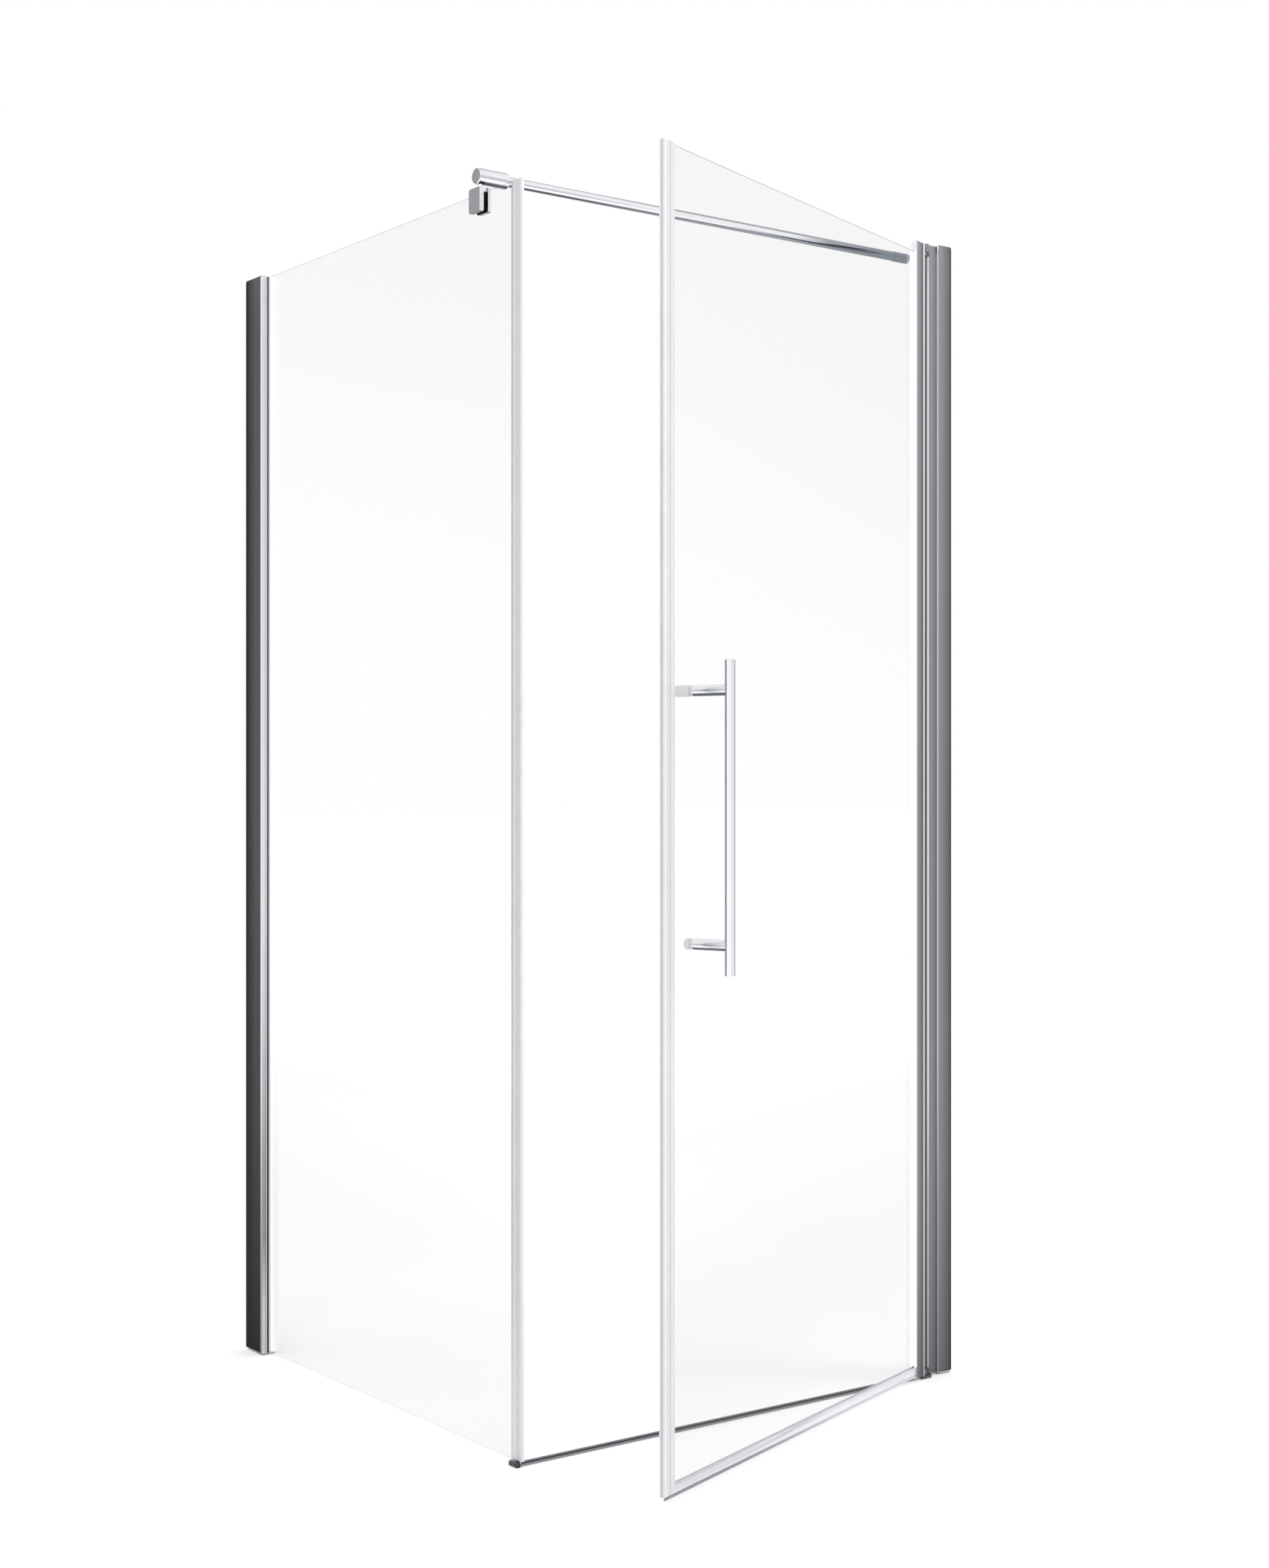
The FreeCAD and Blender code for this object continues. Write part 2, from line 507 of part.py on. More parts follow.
def top_pivot():
    # arm that caps the post and carries the upper pin over the door's end cap
    inset = "(post_wall + plug_clearance)"
    arm = join(rod("Z", (PIVOT, "0", "post_top"), "top_block_radius", "top_block_height"),
               block((PIVOT, POST_RIGHT), ("post_front", "top_block_radius"), ("post_top", TOP_BLOCK_TOP)),
               block((POST_LEFT, POST_RIGHT), ("post_front", POST_BACK), ("post_top", TOP_BLOCK_TOP)),
               block((f"{POST_LEFT} + {inset}", f"{POST_RIGHT} - {inset}"),
                     (f"post_front + {inset}", f"{POST_BACK} - {inset}"),
                     ("post_top - plug_height", TOP_BLOCK_TOP)))
    seat = rod("Z", (PIVOT, "0", "post_top - overrun"), "pivot_radius", "top_pin_seat + overrun")
    shank = rod("Y", TOP_SCREW, "top_screw_radius", "top_screw_depth + top_screw_head_height")
    head = rod("Y", (TOP_SCREW[0], POST_BACK, TOP_SCREW[2]), "top_screw_head", "top_screw_head_height")
    node("top_pivot_block", cut(arm, seat, shank))
    node("top_block_screw", join(shank, head))
    node("top_pivot_pin", rod("Z", (PIVOT, "0", "post_top - top_pin_reach"), "pivot_radius",
                              "top_pin_reach + top_pin_seat"))


# door, in its own frame


def door_hinge_profile():
    slot = "hinge_start + hinge_back"
    outline = [("hinge_end", "hinge_half"), ("hinge_start", "hinge_half"), ("hinge_start", "hinge_web / 2"),
               ("bead_radius", "hinge_web / 2"), ("bead_radius", "0 - hinge_web / 2"),
               ("hinge_start", "0 - hinge_web / 2"), ("hinge_start", "0 - hinge_half"),
               ("hinge_end", "0 - hinge_half"), ("hinge_end", "0 - hinge_slot_half"),
               (slot, "0 - hinge_slot_half"), (slot, "hinge_slot_half"), ("hinge_end", "hinge_slot_half")]
    leaf = place(pad(outline, "XY_Plane", "door_top - hinge_bottom", "hinge_leaf"), z="hinge_bottom")
    x = "hinge_start + hinge_back / 2"
    holes = [rod("Z", (x, "0", "door_top - cap_screw_bite"), "cap_screw_radius", "cap_screw_bite + overrun"),
             rod("Z", (x, "0", "hinge_bottom - overrun"), "cap_screw_radius", "cap_screw_bite + overrun")]
    node("door_hinge_profile", cut(leaf, *holes), door=True)
    node("hinge_bead", rod("Z", ("0", "0", "hinge_bottom"), "bead_radius",
                           "door_top - hinge_bottom - bead_end_gap"), door=True)


def door_caps():
    # blocks on both ends of the hinge profile, with the tongues that hold the bushes
    screw_x = "hinge_start + hinge_back / 2"
    bottom = "(hinge_bottom - bottom_cap_height)"
    top = "(door_top + cap_height)"
    tongue_top = "(door_top + cap_tongue_height)"
    body = ("hinge_start", "hinge_end")
    width = ("0 - hinge_half", "hinge_half")
    arm = ("0 - cap_tongue_radius", "cap_tongue_radius")
    upper = join(block(body, width, ("door_top", top)),
                 block(("0", "hinge_start"), arm, ("door_top", tongue_top)),
                 rod("Z", ("0", "0", "door_top"), "cap_tongue_radius", "cap_tongue_height"))
    upper_bore = rod("Z", ("0", "0", "door_top - overrun"), "bush_radius", "cap_tongue_height + 2 * overrun")
    upper_screw = rod("Z", (screw_x, "0", "door_top - cap_screw_bite"), "cap_screw_radius",
                      "cap_screw_bite + cap_height")
    node("door_top_cap", cut(upper, upper_bore, upper_screw), door=True)
    lower = join(block(body, width, (bottom, "hinge_bottom")),
                 block(("0", "hinge_start"), arm, (bottom, "hinge_bottom - bead_end_gap")),
                 rod("Z", ("0", "0", bottom), "cap_tongue_radius", "bottom_cap_height - bead_end_gap"))
    lower_bore = rod("Z", ("0", "0", f"{bottom} - overrun"), "bush_radius",
                     "bush_height - bush_lift + overrun")
    lower_screw = rod("Z", (screw_x, "0", bottom), "cap_screw_radius", "bottom_cap_height + cap_screw_bite")
    node("door_bottom_cap", cut(lower, lower_bore, lower_screw), door=True)
    node("cap_screws", upper_screw, lower_screw, door=True)
    node("bottom_bush", ring("Z", ("0", "0", f"{WASHER_TOP} + bush_lift"), "bush_radius",
                             "pivot_radius + running_clearance", "bush_height"), door=True)
    collar_height = f"post_top - top_bush_gap - {tongue_top}"
    sleeve = join(rod("Z", ("0", "0", "door_top"), "bush_radius", "cap_tongue_height"),
                  rod("Z", ("0", "0", tongue_top), "top_bush_flange", collar_height))
    hole = rod("Z", ("0", "0", "door_top - overrun"), "pivot_radius + running_clearance",
               "cap_tongue_height + 2 * overrun")
    node("top_bush", cut(sleeve, hole), door=True)


def hinge_cover_strip():
    # inner cover of the hinge profile, which reaches past it over the glass
    back = "(0 - hinge_half - cover_thickness)"
    outline = [("hinge_start", "0 - hinge_half"), ("hinge_start", back), ("cover_end", back),
               ("cover_end", "cover_return - hinge_half"), ("cover_end - cover_thickness",
                                                            "cover_return - hinge_half"),
               ("cover_end - cover_thickness", "0 - hinge_half")]
    bottom = "(hinge_bottom + cover_lift)"
    strip = place(pad(outline, "XY_Plane", f"cover_top - {bottom}", "cover_leaf"), z=bottom)
    node("hinge_cover_strip", strip, door=True)


def door_glazing_gasket():
    slot = "hinge_start + hinge_back"
    outline = [("gasket_end", "hinge_slot_half"), (slot, "hinge_slot_half"), (slot, "0 - hinge_slot_half"),
               ("gasket_end", "0 - hinge_slot_half"), ("gasket_end", f"0 - {MIDDLE}"),
               ("door_glass_start", f"0 - {MIDDLE}"), ("door_glass_start", MIDDLE), ("gasket_end", MIDDLE)]
    liner = place(pad(outline, "XY_Plane", "door_top - bottom_seal_top", "gasket_run"), z="bottom_seal_top")
    node("door_glazing_gasket", liner, door=True)


def door_glass():
    pane = block(("door_glass_start", "door_glass_end"), (f"0 - {MIDDLE}", MIDDLE),
                 ("door_glass_bottom", "door_top"))
    holes = [rod("Y", ("handle_along", f"0 - {MIDDLE} - overrun", height), "glass_hole_radius",
                 "glass_thickness + 2 * overrun") for height in ("handle_low_post", "handle_high_post")]
    node("door_glass", cut(pane, *holes), door=True)


def door_edge_seal():
    # clear strip on the free edge: it grips the glass and ends in a hollow box with the magnet
    outer = f"({MIDDLE} + seal_wall)"
    web = "(door_glass_end + seal_wall)"
    outline = [("edge_seal_start", outer), ("edge_seal_end", outer), ("edge_seal_end", "0 - edge_seal_inner"),
               (web, "0 - edge_seal_inner"), (web, f"0 - {outer}"), ("edge_seal_start", f"0 - {outer}"),
               ("edge_seal_start", f"0 - {MIDDLE}"), ("door_glass_end", f"0 - {MIDDLE}"),
               ("door_glass_end", MIDDLE), ("edge_seal_start", MIDDLE)]
    strip = pad(outline, "XY_Plane", "edge_seal_top - edge_seal_bottom", "edge_run")
    place(strip, z="edge_seal_bottom")
    hollow = block((f"{web} + seal_wall", "edge_seal_end - seal_wall"),
                   ("seal_wall - edge_seal_inner", f"{outer} - seal_wall"),
                   ("edge_seal_bottom - overrun", "edge_seal_top + overrun"))
    node("door_edge_seal", cut(strip, hollow), door=True)
    magnet_end = "edge_seal_end - seal_wall"
    magnet_heights = ("edge_seal_bottom + magnet_clearance", "edge_seal_top - magnet_clearance")
    node("door_edge_magnet", block((f"{magnet_end} - edge_magnet_width", magnet_end),
                                   ("0 - edge_magnet_thickness / 2", "edge_magnet_thickness / 2"),
                                   magnet_heights), door=True)


def door_bottom_seal():
    # clear strip gripped on the bottom edge of the glass, with a drip fin inside and a soft lip below
    outer = f"({MIDDLE} + seal_wall)"
    stem_low = "(lip_place - seal_stem / 2)"
    stem_high = "(lip_place + seal_stem / 2)"
    outline = [(outer, "bottom_seal_top"), (MIDDLE, "bottom_seal_top"), (MIDDLE, "door_glass_bottom"),
               (f"0 - {MIDDLE}", "door_glass_bottom"), (f"0 - {MIDDLE}", "bottom_seal_top"),
               (f"0 - {outer}", "bottom_seal_top"), (f"0 - {outer}", "bottom_seal_base + seal_wall"),
               (f"0 - {outer} - drip_reach", "bottom_seal_base + seal_wall - drip_fall"),
               (f"0 - {outer} - drip_reach", "bottom_seal_base - drip_fall"),
               (f"0 - {outer}", "bottom_seal_base"), (stem_low, "bottom_seal_base"),
               (stem_low, "lip_top"), (stem_high, "lip_top"),
               (stem_high, "bottom_seal_base"), (outer, "bottom_seal_base")]
    strip = pad(outline, "YZ_Plane", "edge_seal_start - bottom_seal_start", "seal_run")
    node("door_bottom_seal", place(strip, "bottom_seal_start"), door=True)
    lip = [("lip_place + lip_root / 2", "lip_top"), ("lip_place - lip_root / 2", "lip_top"),
           ("lip_place - lip_tip / 2", "lip_bottom"), ("lip_place + lip_tip / 2", "lip_bottom")]
    node("door_seal_lip", place(pad(lip, "YZ_Plane", "lip_end - bottom_seal_start", "lip_run"),
                                "bottom_seal_start"), door=True)
    clip = block(("bottom_seal_start - clip_length", "bottom_seal_start"),
                 (f"0 - {outer} - clip_proud", f"{outer} + clip_proud"),
                 ("bottom_seal_base", "bottom_seal_top"))
    slot = block(("bottom_seal_start - clip_length - overrun", "bottom_seal_start + overrun"),
                 (f"0 - {MIDDLE}", MIDDLE), ("door_glass_bottom", "bottom_seal_top + overrun"))
    node("door_seal_clip", cut(clip, slot), door=True)


def handle_bar():
    length = "(handle_top - handle_bottom)"
    end = "handle_radius - handle_end_round"
    outline = [("0", "0"), ("0", end), ("handle_end_round", "handle_radius"),
               (f"{length} - handle_end_round", "handle_radius"), (length, end), (length, "0")]
    bar = turned(outline, "handle_tube", FreeCAD.Rotation(Y_AXIS, -90))
    node("handle_bar", place(bar, "handle_along", HANDLE_AXIS, "handle_bottom"), door=True)


def handle_fixings():
    # posts outside, knobs inside and one screw through the glass at each height
    washer_face = f"({MIDDLE} + handle_washer)"
    inner_face = f"(0 - {washer_face})"
    screw_start = f"{inner_face} - knob_screw_bite"
    screw_length = f"2 * {washer_face} + knob_screw_bite + handle_screw_bite"
    posts, washers, screws = [], [], []
    for label, height, reach in (("handle_inner_cap", "handle_low_post", "disc_length"),
                                 ("handle_inner_knob", "handle_high_post", "knob_length")):
        screw = rod("Y", ("handle_along", screw_start, height), "handle_screw_radius", screw_length)
        post = rod("Y", ("handle_along", washer_face, height), "post_radius",
                   "handle_out - handle_washer - handle_radius + post_wrap")
        bar = rod("Z", ("handle_along", HANDLE_AXIS, "handle_bottom"), "handle_radius",
                  "handle_top - handle_bottom")
        length = f"({reach} - handle_washer)"
        outline = [("0", "0"), ("0", "knob_radius"), (f"{length} - knob_round", "knob_radius"),
                   (length, "knob_radius - knob_round"), (length, "0")]
        knob = place(turned(outline, label + "_body", FreeCAD.Rotation(Z_AXIS, -90)),
                     "handle_along", inner_face, height)
        node(label, cut(knob, screw), door=True)
        posts.append(cut(post, join(bar, screw)))
        screws.append(screw)
        washers += [ring("Y", ("handle_along", face, height), "post_radius", "handle_screw_radius",
                         "handle_washer") for face in (MIDDLE, inner_face)]
    node("handle_posts", *posts, door=True)
    node("handle_washers", *washers, door=True)
    node("handle_screws", *screws, door=True)


# support bar


def glass_clamp():
    half = "(clamp_width / 2)"
    y = (f"bar_setback - {half}", f"bar_setback + {half}")
    outer_face = "(0 - clamp_gasket - clamp_plate)"
    ledge = "(clamp_top - clamp_ledge)"
    corners = [(y[0], "clamp_bottom"), (y[1], "clamp_bottom"), (y[1], "clamp_top"), (y[0], "clamp_top")]
    rounds = [("clamp_round", along(X_AXIS)), ("clamp_edge", lambda edge: abs(edge.CenterOfMass.x) < NEARLY)]
    plate = place(pad(corners, "YZ_Plane", "clamp_plate", "clamp_plate_body", rounds), outer_face)
    bridge = block(("0 - clamp_gasket", CLAMP_INNER_FACE), (f"{y[0]} + clamp_round", f"{y[1]} - clamp_round"),
                   (ledge, "clamp_top"))
    screw_ys = [f"bar_setback {sign} clamp_screw_spread / 2" for sign in "-+"]
    inner_face = f"({CLAMP_INNER_FACE} + clamp_inner)"
    screw_z = "clamp_top - clamp_ledge / 2"
    shanks = [rod("X", (f"{inner_face} - clamp_screw_reach", place_y, screw_z), "clamp_screw_radius",
                  "clamp_screw_reach") for place_y in screw_ys]
    heads = [rod("X", (f"{inner_face} - clamp_screw_head_height", place_y, screw_z), "clamp_screw_head",
                 "clamp_screw_head_height") for place_y in screw_ys]
    stud = rod("Z", ("stud_place", "bar_setback", "clamp_top - stud_seat"), "stud_radius",
               "bar_height - holder_radius + stud_bite - clamp_top + stud_seat")
    node("clamp_outer_jaw", cut(join(plate, bridge), *shanks, stud))
    jaw = place(pad(corners, "YZ_Plane", "clamp_inner", "clamp_jaw_body", [("clamp_round", along(X_AXIS))]),
                CLAMP_INNER_FACE)
    screws = [join(shank, head) for shank, head in zip(shanks, heads)]
    node("clamp_inner_jaw", cut(jaw, *screws))
    node("clamp_screws", *screws)
    node("clamp_stud", stud)
    liner_y = (f"{y[0]} + clamp_edge", f"{y[1]} - clamp_edge")
    around = block(("0 - clamp_gasket", CLAMP_INNER_FACE), liner_y, ("clamp_bottom + clamp_edge", ledge))
    node("clamp_gasket", cut(around, block(("0", "glass_thickness"), (f"{liner_y[0]} - overrun",
                                                                     f"{liner_y[1]} + overrun"),
                                           ("clamp_bottom - overrun", "side_height"))))
    return stud


def bar_holder(stud):
    low = "(0 - holder_start)"
    shoulder = "(holder_end - holder_shoulder)"
    outline = [(low, "0"), (low, "holder_radius - holder_edge"), (f"{low} + holder_edge", "holder_radius"),
               (shoulder, "holder_radius"),
               *[(f"{shoulder} + holder_shoulder * {run}",
                  f"holder_radius - (holder_radius - bar_radius) * {fall}") for run, fall in SHOULDER_SHARES],
               ("holder_end", "bar_radius"), ("bar_start", "bar_radius"), ("bar_start", "0")]
    sleeve = place(turned(outline, "holder_sleeve"), "0", "bar_setback", "bar_height")
    grub = rod("Z", (f"{shoulder} - grub_inset", "bar_setback", "bar_height - holder_radius"), "grub_radius",
               "holder_radius - bar_radius")
    node("bar_holder", cut(sleeve, stud, grub))
    node("holder_grub_screw", grub)
    node("support_bar", ring("X", ("bar_start", "bar_setback", "bar_height"), "bar_radius",
                             "bar_radius - bar_wall", f"{BAR_END} - bar_start"))


def bar_wall_socket():
    start = "(front_width - socket_length)"
    outline = [(start, "bar_radius"), (start, "socket_radius - socket_edge"),
               (f"{start} + socket_edge", "socket_radius"), ("front_width", "socket_radius"),
               ("front_width", "0"), (BAR_END, "0"), (BAR_END, "bar_radius")]
    cup = place(turned(outline, "socket_cup"), "0", "bar_setback", "bar_height")
    grub = doc.addObject("Part::Cylinder", "socket_grub")
    grub.Placement.Rotation = FreeCAD.Rotation(X_AXIS, SIZES["grub_angle"])
    grub.setExpression("Radius", bound("grub_radius"))
    grub.setExpression("Height", bound("socket_radius - bar_radius"))
    place(grub, f"{start} + grub_inset", "bar_setback - bar_radius * sin(grub_angle)",
          "bar_height + bar_radius * cos(grub_angle)")
    node("bar_wall_socket", cut(cup, grub))
    node("socket_grub_screw", grub)


side_wall_profile()
side_glass_profile()
side_fixings()
side_gaskets()
side_profile_ends()
side_glass()
side_edge_seal()
corner_foot()
threshold_rail()
side_bottom_strip()
bottom_pivot()
door_wall_profile()
post_profile()
door_fixings()
top_pivot()
door_hinge_profile()
door_caps()
hinge_cover_strip()
door_glazing_gasket()
door_glass()
door_edge_seal()
door_bottom_seal()
handle_bar()
handle_fixings()
bar_holder(glass_clamp())
bar_wall_socket()
doc.recompute()

for thing in doc.Objects:
    if "Invalid" in thing.State or "Error" in thing.State:
        raise RuntimeError(f"{thing.Name} did not compute: {thing.State}")
for piece in nodes:
    if piece.Shape.isNull() or not piece.Shape.isValid() or not piece.Shape.Solids:
        raise RuntimeError(f"{piece.Label} has no sound shape")

os.makedirs("parts", exist_ok=True)
for piece in nodes:
    piece.Shape.exportStep(f"parts/{piece.Label}.step")
print(len(nodes), "parts written")
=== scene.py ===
"""Corner shower enclosure with a glass pivot door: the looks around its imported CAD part."""

import json
import math

import bmesh
import bpy
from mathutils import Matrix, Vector


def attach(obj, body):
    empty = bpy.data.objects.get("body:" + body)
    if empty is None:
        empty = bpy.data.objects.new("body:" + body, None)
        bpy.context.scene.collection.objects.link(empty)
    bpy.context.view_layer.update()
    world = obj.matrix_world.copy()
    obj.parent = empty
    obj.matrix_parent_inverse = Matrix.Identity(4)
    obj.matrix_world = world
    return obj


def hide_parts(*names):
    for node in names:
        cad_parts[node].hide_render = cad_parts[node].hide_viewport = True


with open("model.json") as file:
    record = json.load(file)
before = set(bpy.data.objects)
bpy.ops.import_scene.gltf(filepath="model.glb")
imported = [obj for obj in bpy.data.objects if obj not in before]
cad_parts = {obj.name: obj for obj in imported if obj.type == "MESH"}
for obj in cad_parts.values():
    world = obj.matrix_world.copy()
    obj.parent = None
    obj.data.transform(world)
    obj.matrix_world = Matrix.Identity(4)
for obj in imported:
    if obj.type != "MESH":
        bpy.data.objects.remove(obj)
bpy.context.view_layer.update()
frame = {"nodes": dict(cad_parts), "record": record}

bl_info = {
    "name": "Corner Shower Enclosure",
    "version": (1, 0, 0),
    "blender": (4, 5, 0),
    "location": "3D View > Sidebar > Shower",
    "description": "Dresses the shower enclosure's frame with its glass, seals and fittings",
    "category": "Object",
}

OPEN_ANGLE = math.radians(19.7)
TO_FREE_EDGE = Vector((-math.cos(OPEN_ANGLE), -math.sin(OPEN_ANGLE), 0))
OUT_OF_DOOR = Vector((math.sin(OPEN_ANGLE), -math.cos(OPEN_ANGLE), 0))
PIVOT = Vector((0.825, 0, 0))
LEFT, FRONT, BACK, RIGHT, UP, DOWN = (Vector(v) for v in (
    (-1, 0, 0), (0, -1, 0), (0, 1, 0), (1, 0, 0), (0, 0, 1), (0, 0, -1)))

# places and sizes of the CAD parts that the finishes follow, in metres
ENCLOSURE_HEIGHT = 1.9
HALF_GLASS = 0.003
SIDE_PROFILE_BACK, SIDE_PROFILE_DEPTH = 0.863, 0.06
SIDE_RIM = 0.8029
SIDE_SEAL_BACK, SIDE_SEAL_DEPTH = 0.0216, 0.0265
WALL_PROFILE_LEFT, WALL_PROFILE_WIDTH = 0.8555, 0.0315
POST_LEFT, POST_WIDTH = 0.8325, 0.016
HINGE_WIDTH = 0.044
RAIL_HEIGHT, BLOCK_HEIGHT, FOOT_HEIGHT = 0.0056, 0.006, 0.004
DOOR_SEAL_FREE, DOOR_SEAL_INNER, DOOR_SEAL_FRONT = 0.8205, 0.7787, 0.00475
BOTTOM_SEAL_FOOT, BOTTOM_SEAL_HEIGHT, BOTTOM_SEAL_REAR = 0.0139, 0.0146, -0.0024

# how far the door seal's lines are shifted inwards, in widths of the strip,
# and how much more for each metre of depth
SEAL_SHIFT, SEAL_LEAN = 0.36404, 35.865
# height of each soft step in the panes' painted reflection bands, and the grey line's height and depth on
# their upper edge
BAND_STEP, ARRIS_HEIGHT, ARRIS_DEPTH = 0.115, 0.0019, 0.004
# the direction across which the upright handle shows its painted reflection bands
HANDLE_RIGHT = (0.79, -0.613, 0)
# screen code of the clear plastic
CLEAR = "f3f4f8"
# what whitens the floor where it is seen, its half width, and how far it lies under the part, in metres
FLOOR_GLOW, FLOOR_REACH, FLOOR_GAP = (0.29, 0.29, 0.29), 60, 0.0004

# how the pieces' meshes are eased and shaded
SAME_POINT = 1e-6
SAME_PLANE, EASED_EDGE, SHARP_EDGE = (math.radians(angle) for angle in (0.5, 32, 34))


# shader building


class Amount:
    """A number socket; an expression on it adds the Math nodes."""

    def __init__(self, finish, socket):
        self.finish = finish
        self.socket = socket

    def _with(self, operation, first, second):
        return self.finish.amount("ShaderNodeMath", {"operation": operation}, {0: first, 1: second})

    def __add__(self, other):
        return self._with("ADD", self, other)

    def __sub__(self, other):
        return self._with("SUBTRACT", self, other)

    def __rsub__(self, other):
        return self._with("SUBTRACT", other, self)

    def __mul__(self, other):
        return self._with("MULTIPLY", self, other)

    def __truediv__(self, other):
        return self._with("DIVIDE", self, other)

    __radd__ = __add__
    __rmul__ = __mul__

    def most(self, other):
        """The greater of two numbers."""
        return self._with("MAXIMUM", self, other)

    def snapped(self, step):
        """The number brought down to a whole count of steps."""
        return self._with("SNAP", self, step)


class Finish:
    """A material, or the world, whose nodes are added one by one."""

    def __init__(self, owner):
        owner.use_nodes = True
        self.owner = owner
        self.tree = owner.node_tree
        self.tree.nodes.clear()

    def add(self, kind, settings=None, values=None):
        """A node of that type, with its settings first and then the values or links of its sockets."""
        node = self.tree.nodes.new(kind)
        for name, setting in (settings or {}).items():
            if name == "stops":
                ramp = node.color_ramp
                while len(ramp.elements) > 1:
                    ramp.elements.remove(ramp.elements[-1])
                for i, (place, colour) in enumerate(setting):
                    stop = ramp.elements[0] if i == 0 else ramp.elements.new(place)
                    stop.position = place
                    stop.color = (*colour, 1)
            else:
                setattr(node, name, setting)
        for name, value in (values or {}).items():
            socket = node.inputs[name]
            source = value.socket if isinstance(value, Amount) else value
            if isinstance(source, bpy.types.NodeSocket):
                self.tree.links.new(source, socket)
            elif socket.type == "RGBA":
                socket.default_value = (*source[:3], 1)
            else:
                socket.default_value = source
        return node

    def amount(self, kind, settings=None, values=None):
        return Amount(self, self.add(kind, settings, values).outputs[0])

    def place(self):
        return self.add("ShaderNodeTexCoord").outputs["Object"]

    def normal(self):
        return self.add("ShaderNodeTexCoord").outputs["Normal"]

    def axes(self, vector):
        """The three numbers of a vector."""
        node = self.add("ShaderNodeSeparateXYZ", None, {0: vector})
        return [Amount(self, socket) for socket in node.outputs]

    def stretched(self, vector, scale):
        return self.add("ShaderNodeVectorMath", {"operation": "MULTIPLY"}, {0: vector, 1: scale}).outputs[0]

    def noise(self, scale, stretch=(1, 1, 1), detail=2.0):
        vector = self.stretched(self.place(), stretch)
        return self.amount("ShaderNodeTexNoise", None, {"Vector": vector, "Scale": scale, "Detail": detail})

    def ramp(self, amount, low, high, first=0.0, last=1.0):
        """A number that eases from first to last while the amount goes from low to high."""
        return self.amount("ShaderNodeMapRange", {"clamp": True, "interpolation_type": "SMOOTHSTEP"},
                           {0: amount, 1: low, 2: high, 3: first, 4: last})

    def stops(self, amount, colours):
        """A colour picked along an amount from 0 to 1."""
        return self.add("ShaderNodeValToRGB", {"stops": colours}, {0: amount}).outputs[0]

    def mix(self, share, first, second):
        """One colour turning into another."""
        return self.add("ShaderNodeMix", {"data_type": "RGBA"}, {0: share, 6: first, 7: second}).outputs[2]

    def towards(self, direction):
        """How far a face looks in a direction, from -1 to 1."""
        dot = self.add("ShaderNodeVectorMath", {"operation": "DOT_PRODUCT"},
                       {0: self.normal(), 1: direction}).outputs["Value"]
        return Amount(self, dot)

    def facing(self, direction, low=0.6, high=0.85):
        """1 on the faces that look in a direction, 0 elsewhere."""
        return self.ramp(self.towards(direction), low, high)

    def surface(self, **sockets):
        """The Principled shader on the surface output; _ stands for a space in its sockets' names."""
        values = {name.replace("_", " "): value for name, value in sockets.items()}
        shader = self.add("ShaderNodeBsdfPrincipled", None, values)
        self.add("ShaderNodeOutputMaterial", None, {"Surface": shader.outputs[0]})
        return self.owner

    def bump(self, height, depth, strength=1.0):
        return self.add("ShaderNodeBump", None, {"Height": height, "Distance": depth,
                                                 "Strength": strength}).outputs[0]


def finish(name):
    return Finish(bpy.data.materials.new(name))


def draw_lines(f, along):
    """The faint lines that drawing through the die leaves along a profile."""
    stretch = [1.0, 1.0, 1.0]
    stretch["XYZ".index(along)] = 0.004
    return f.noise(1400.0, stretch, detail=3.0)


def tone(code):
    """A colour from its six-digit screen code."""
    return tuple(((int(code[i:i + 2], 16) / 255 + 0.055) / 1.055) ** 2.4 for i in (0, 2, 4))


def height_share(f):
    """0 at the tray, 1 at the top of the enclosure."""
    return f.axes(f.place())[2] / ENCLOSURE_HEIGHT


def door_share(f, start, end):
    """0 to 1 along the door, from start to end, measured in metres from its pivots."""
    x, y, _ = f.axes(f.place())
    along = (x - PIVOT.x) * TO_FREE_EDGE.x + y * TO_FREE_EDGE.y
    return (along - start) / (end - start)


def door_depth(f):
    """How far a place on the door lies in front of its pivots, in metres."""
    x, y, _ = f.axes(f.place())
    return (x - PIVOT.x) * OUT_OF_DOOR.x + y * OUT_OF_DOOR.y


def side_depth(f):
    """How far a place lies in front of the side pane's outer face, in metres."""
    return f.axes(f.place())[0] * -1


def times(f, colour, shade):
    """A colour darkened by a grey one."""
    return f.add("ShaderNodeMix", {"data_type": "RGBA", "blend_type": "MULTIPLY"},
                 {0: 1.0, 6: colour, 7: shade}).outputs[2]


def tones(places):
    """Stops from places and screen codes."""
    return [(place, tone(code)) for place, code in places]


def greys(places):
    """Stops from places and shares of white."""
    return [(place, (share, share, share)) for place, share in places]


def room_shade(f):
    """How the profiles' broad faces darken towards the tray."""
    return f.stops(height_share(f), greys([
        (0.0, 0.42), (0.16, 0.62), (0.3, 0.72), (0.56, 0.81), (0.94, 0.95), (1.0, 1.0)]))


def bright_shade(f):
    """How their narrow bright faces darken towards the tray."""
    return f.stops(height_share(f), greys([(0.0, 0.44), (0.16, 0.62), (0.24, 0.95), (0.3, 1.0)]))


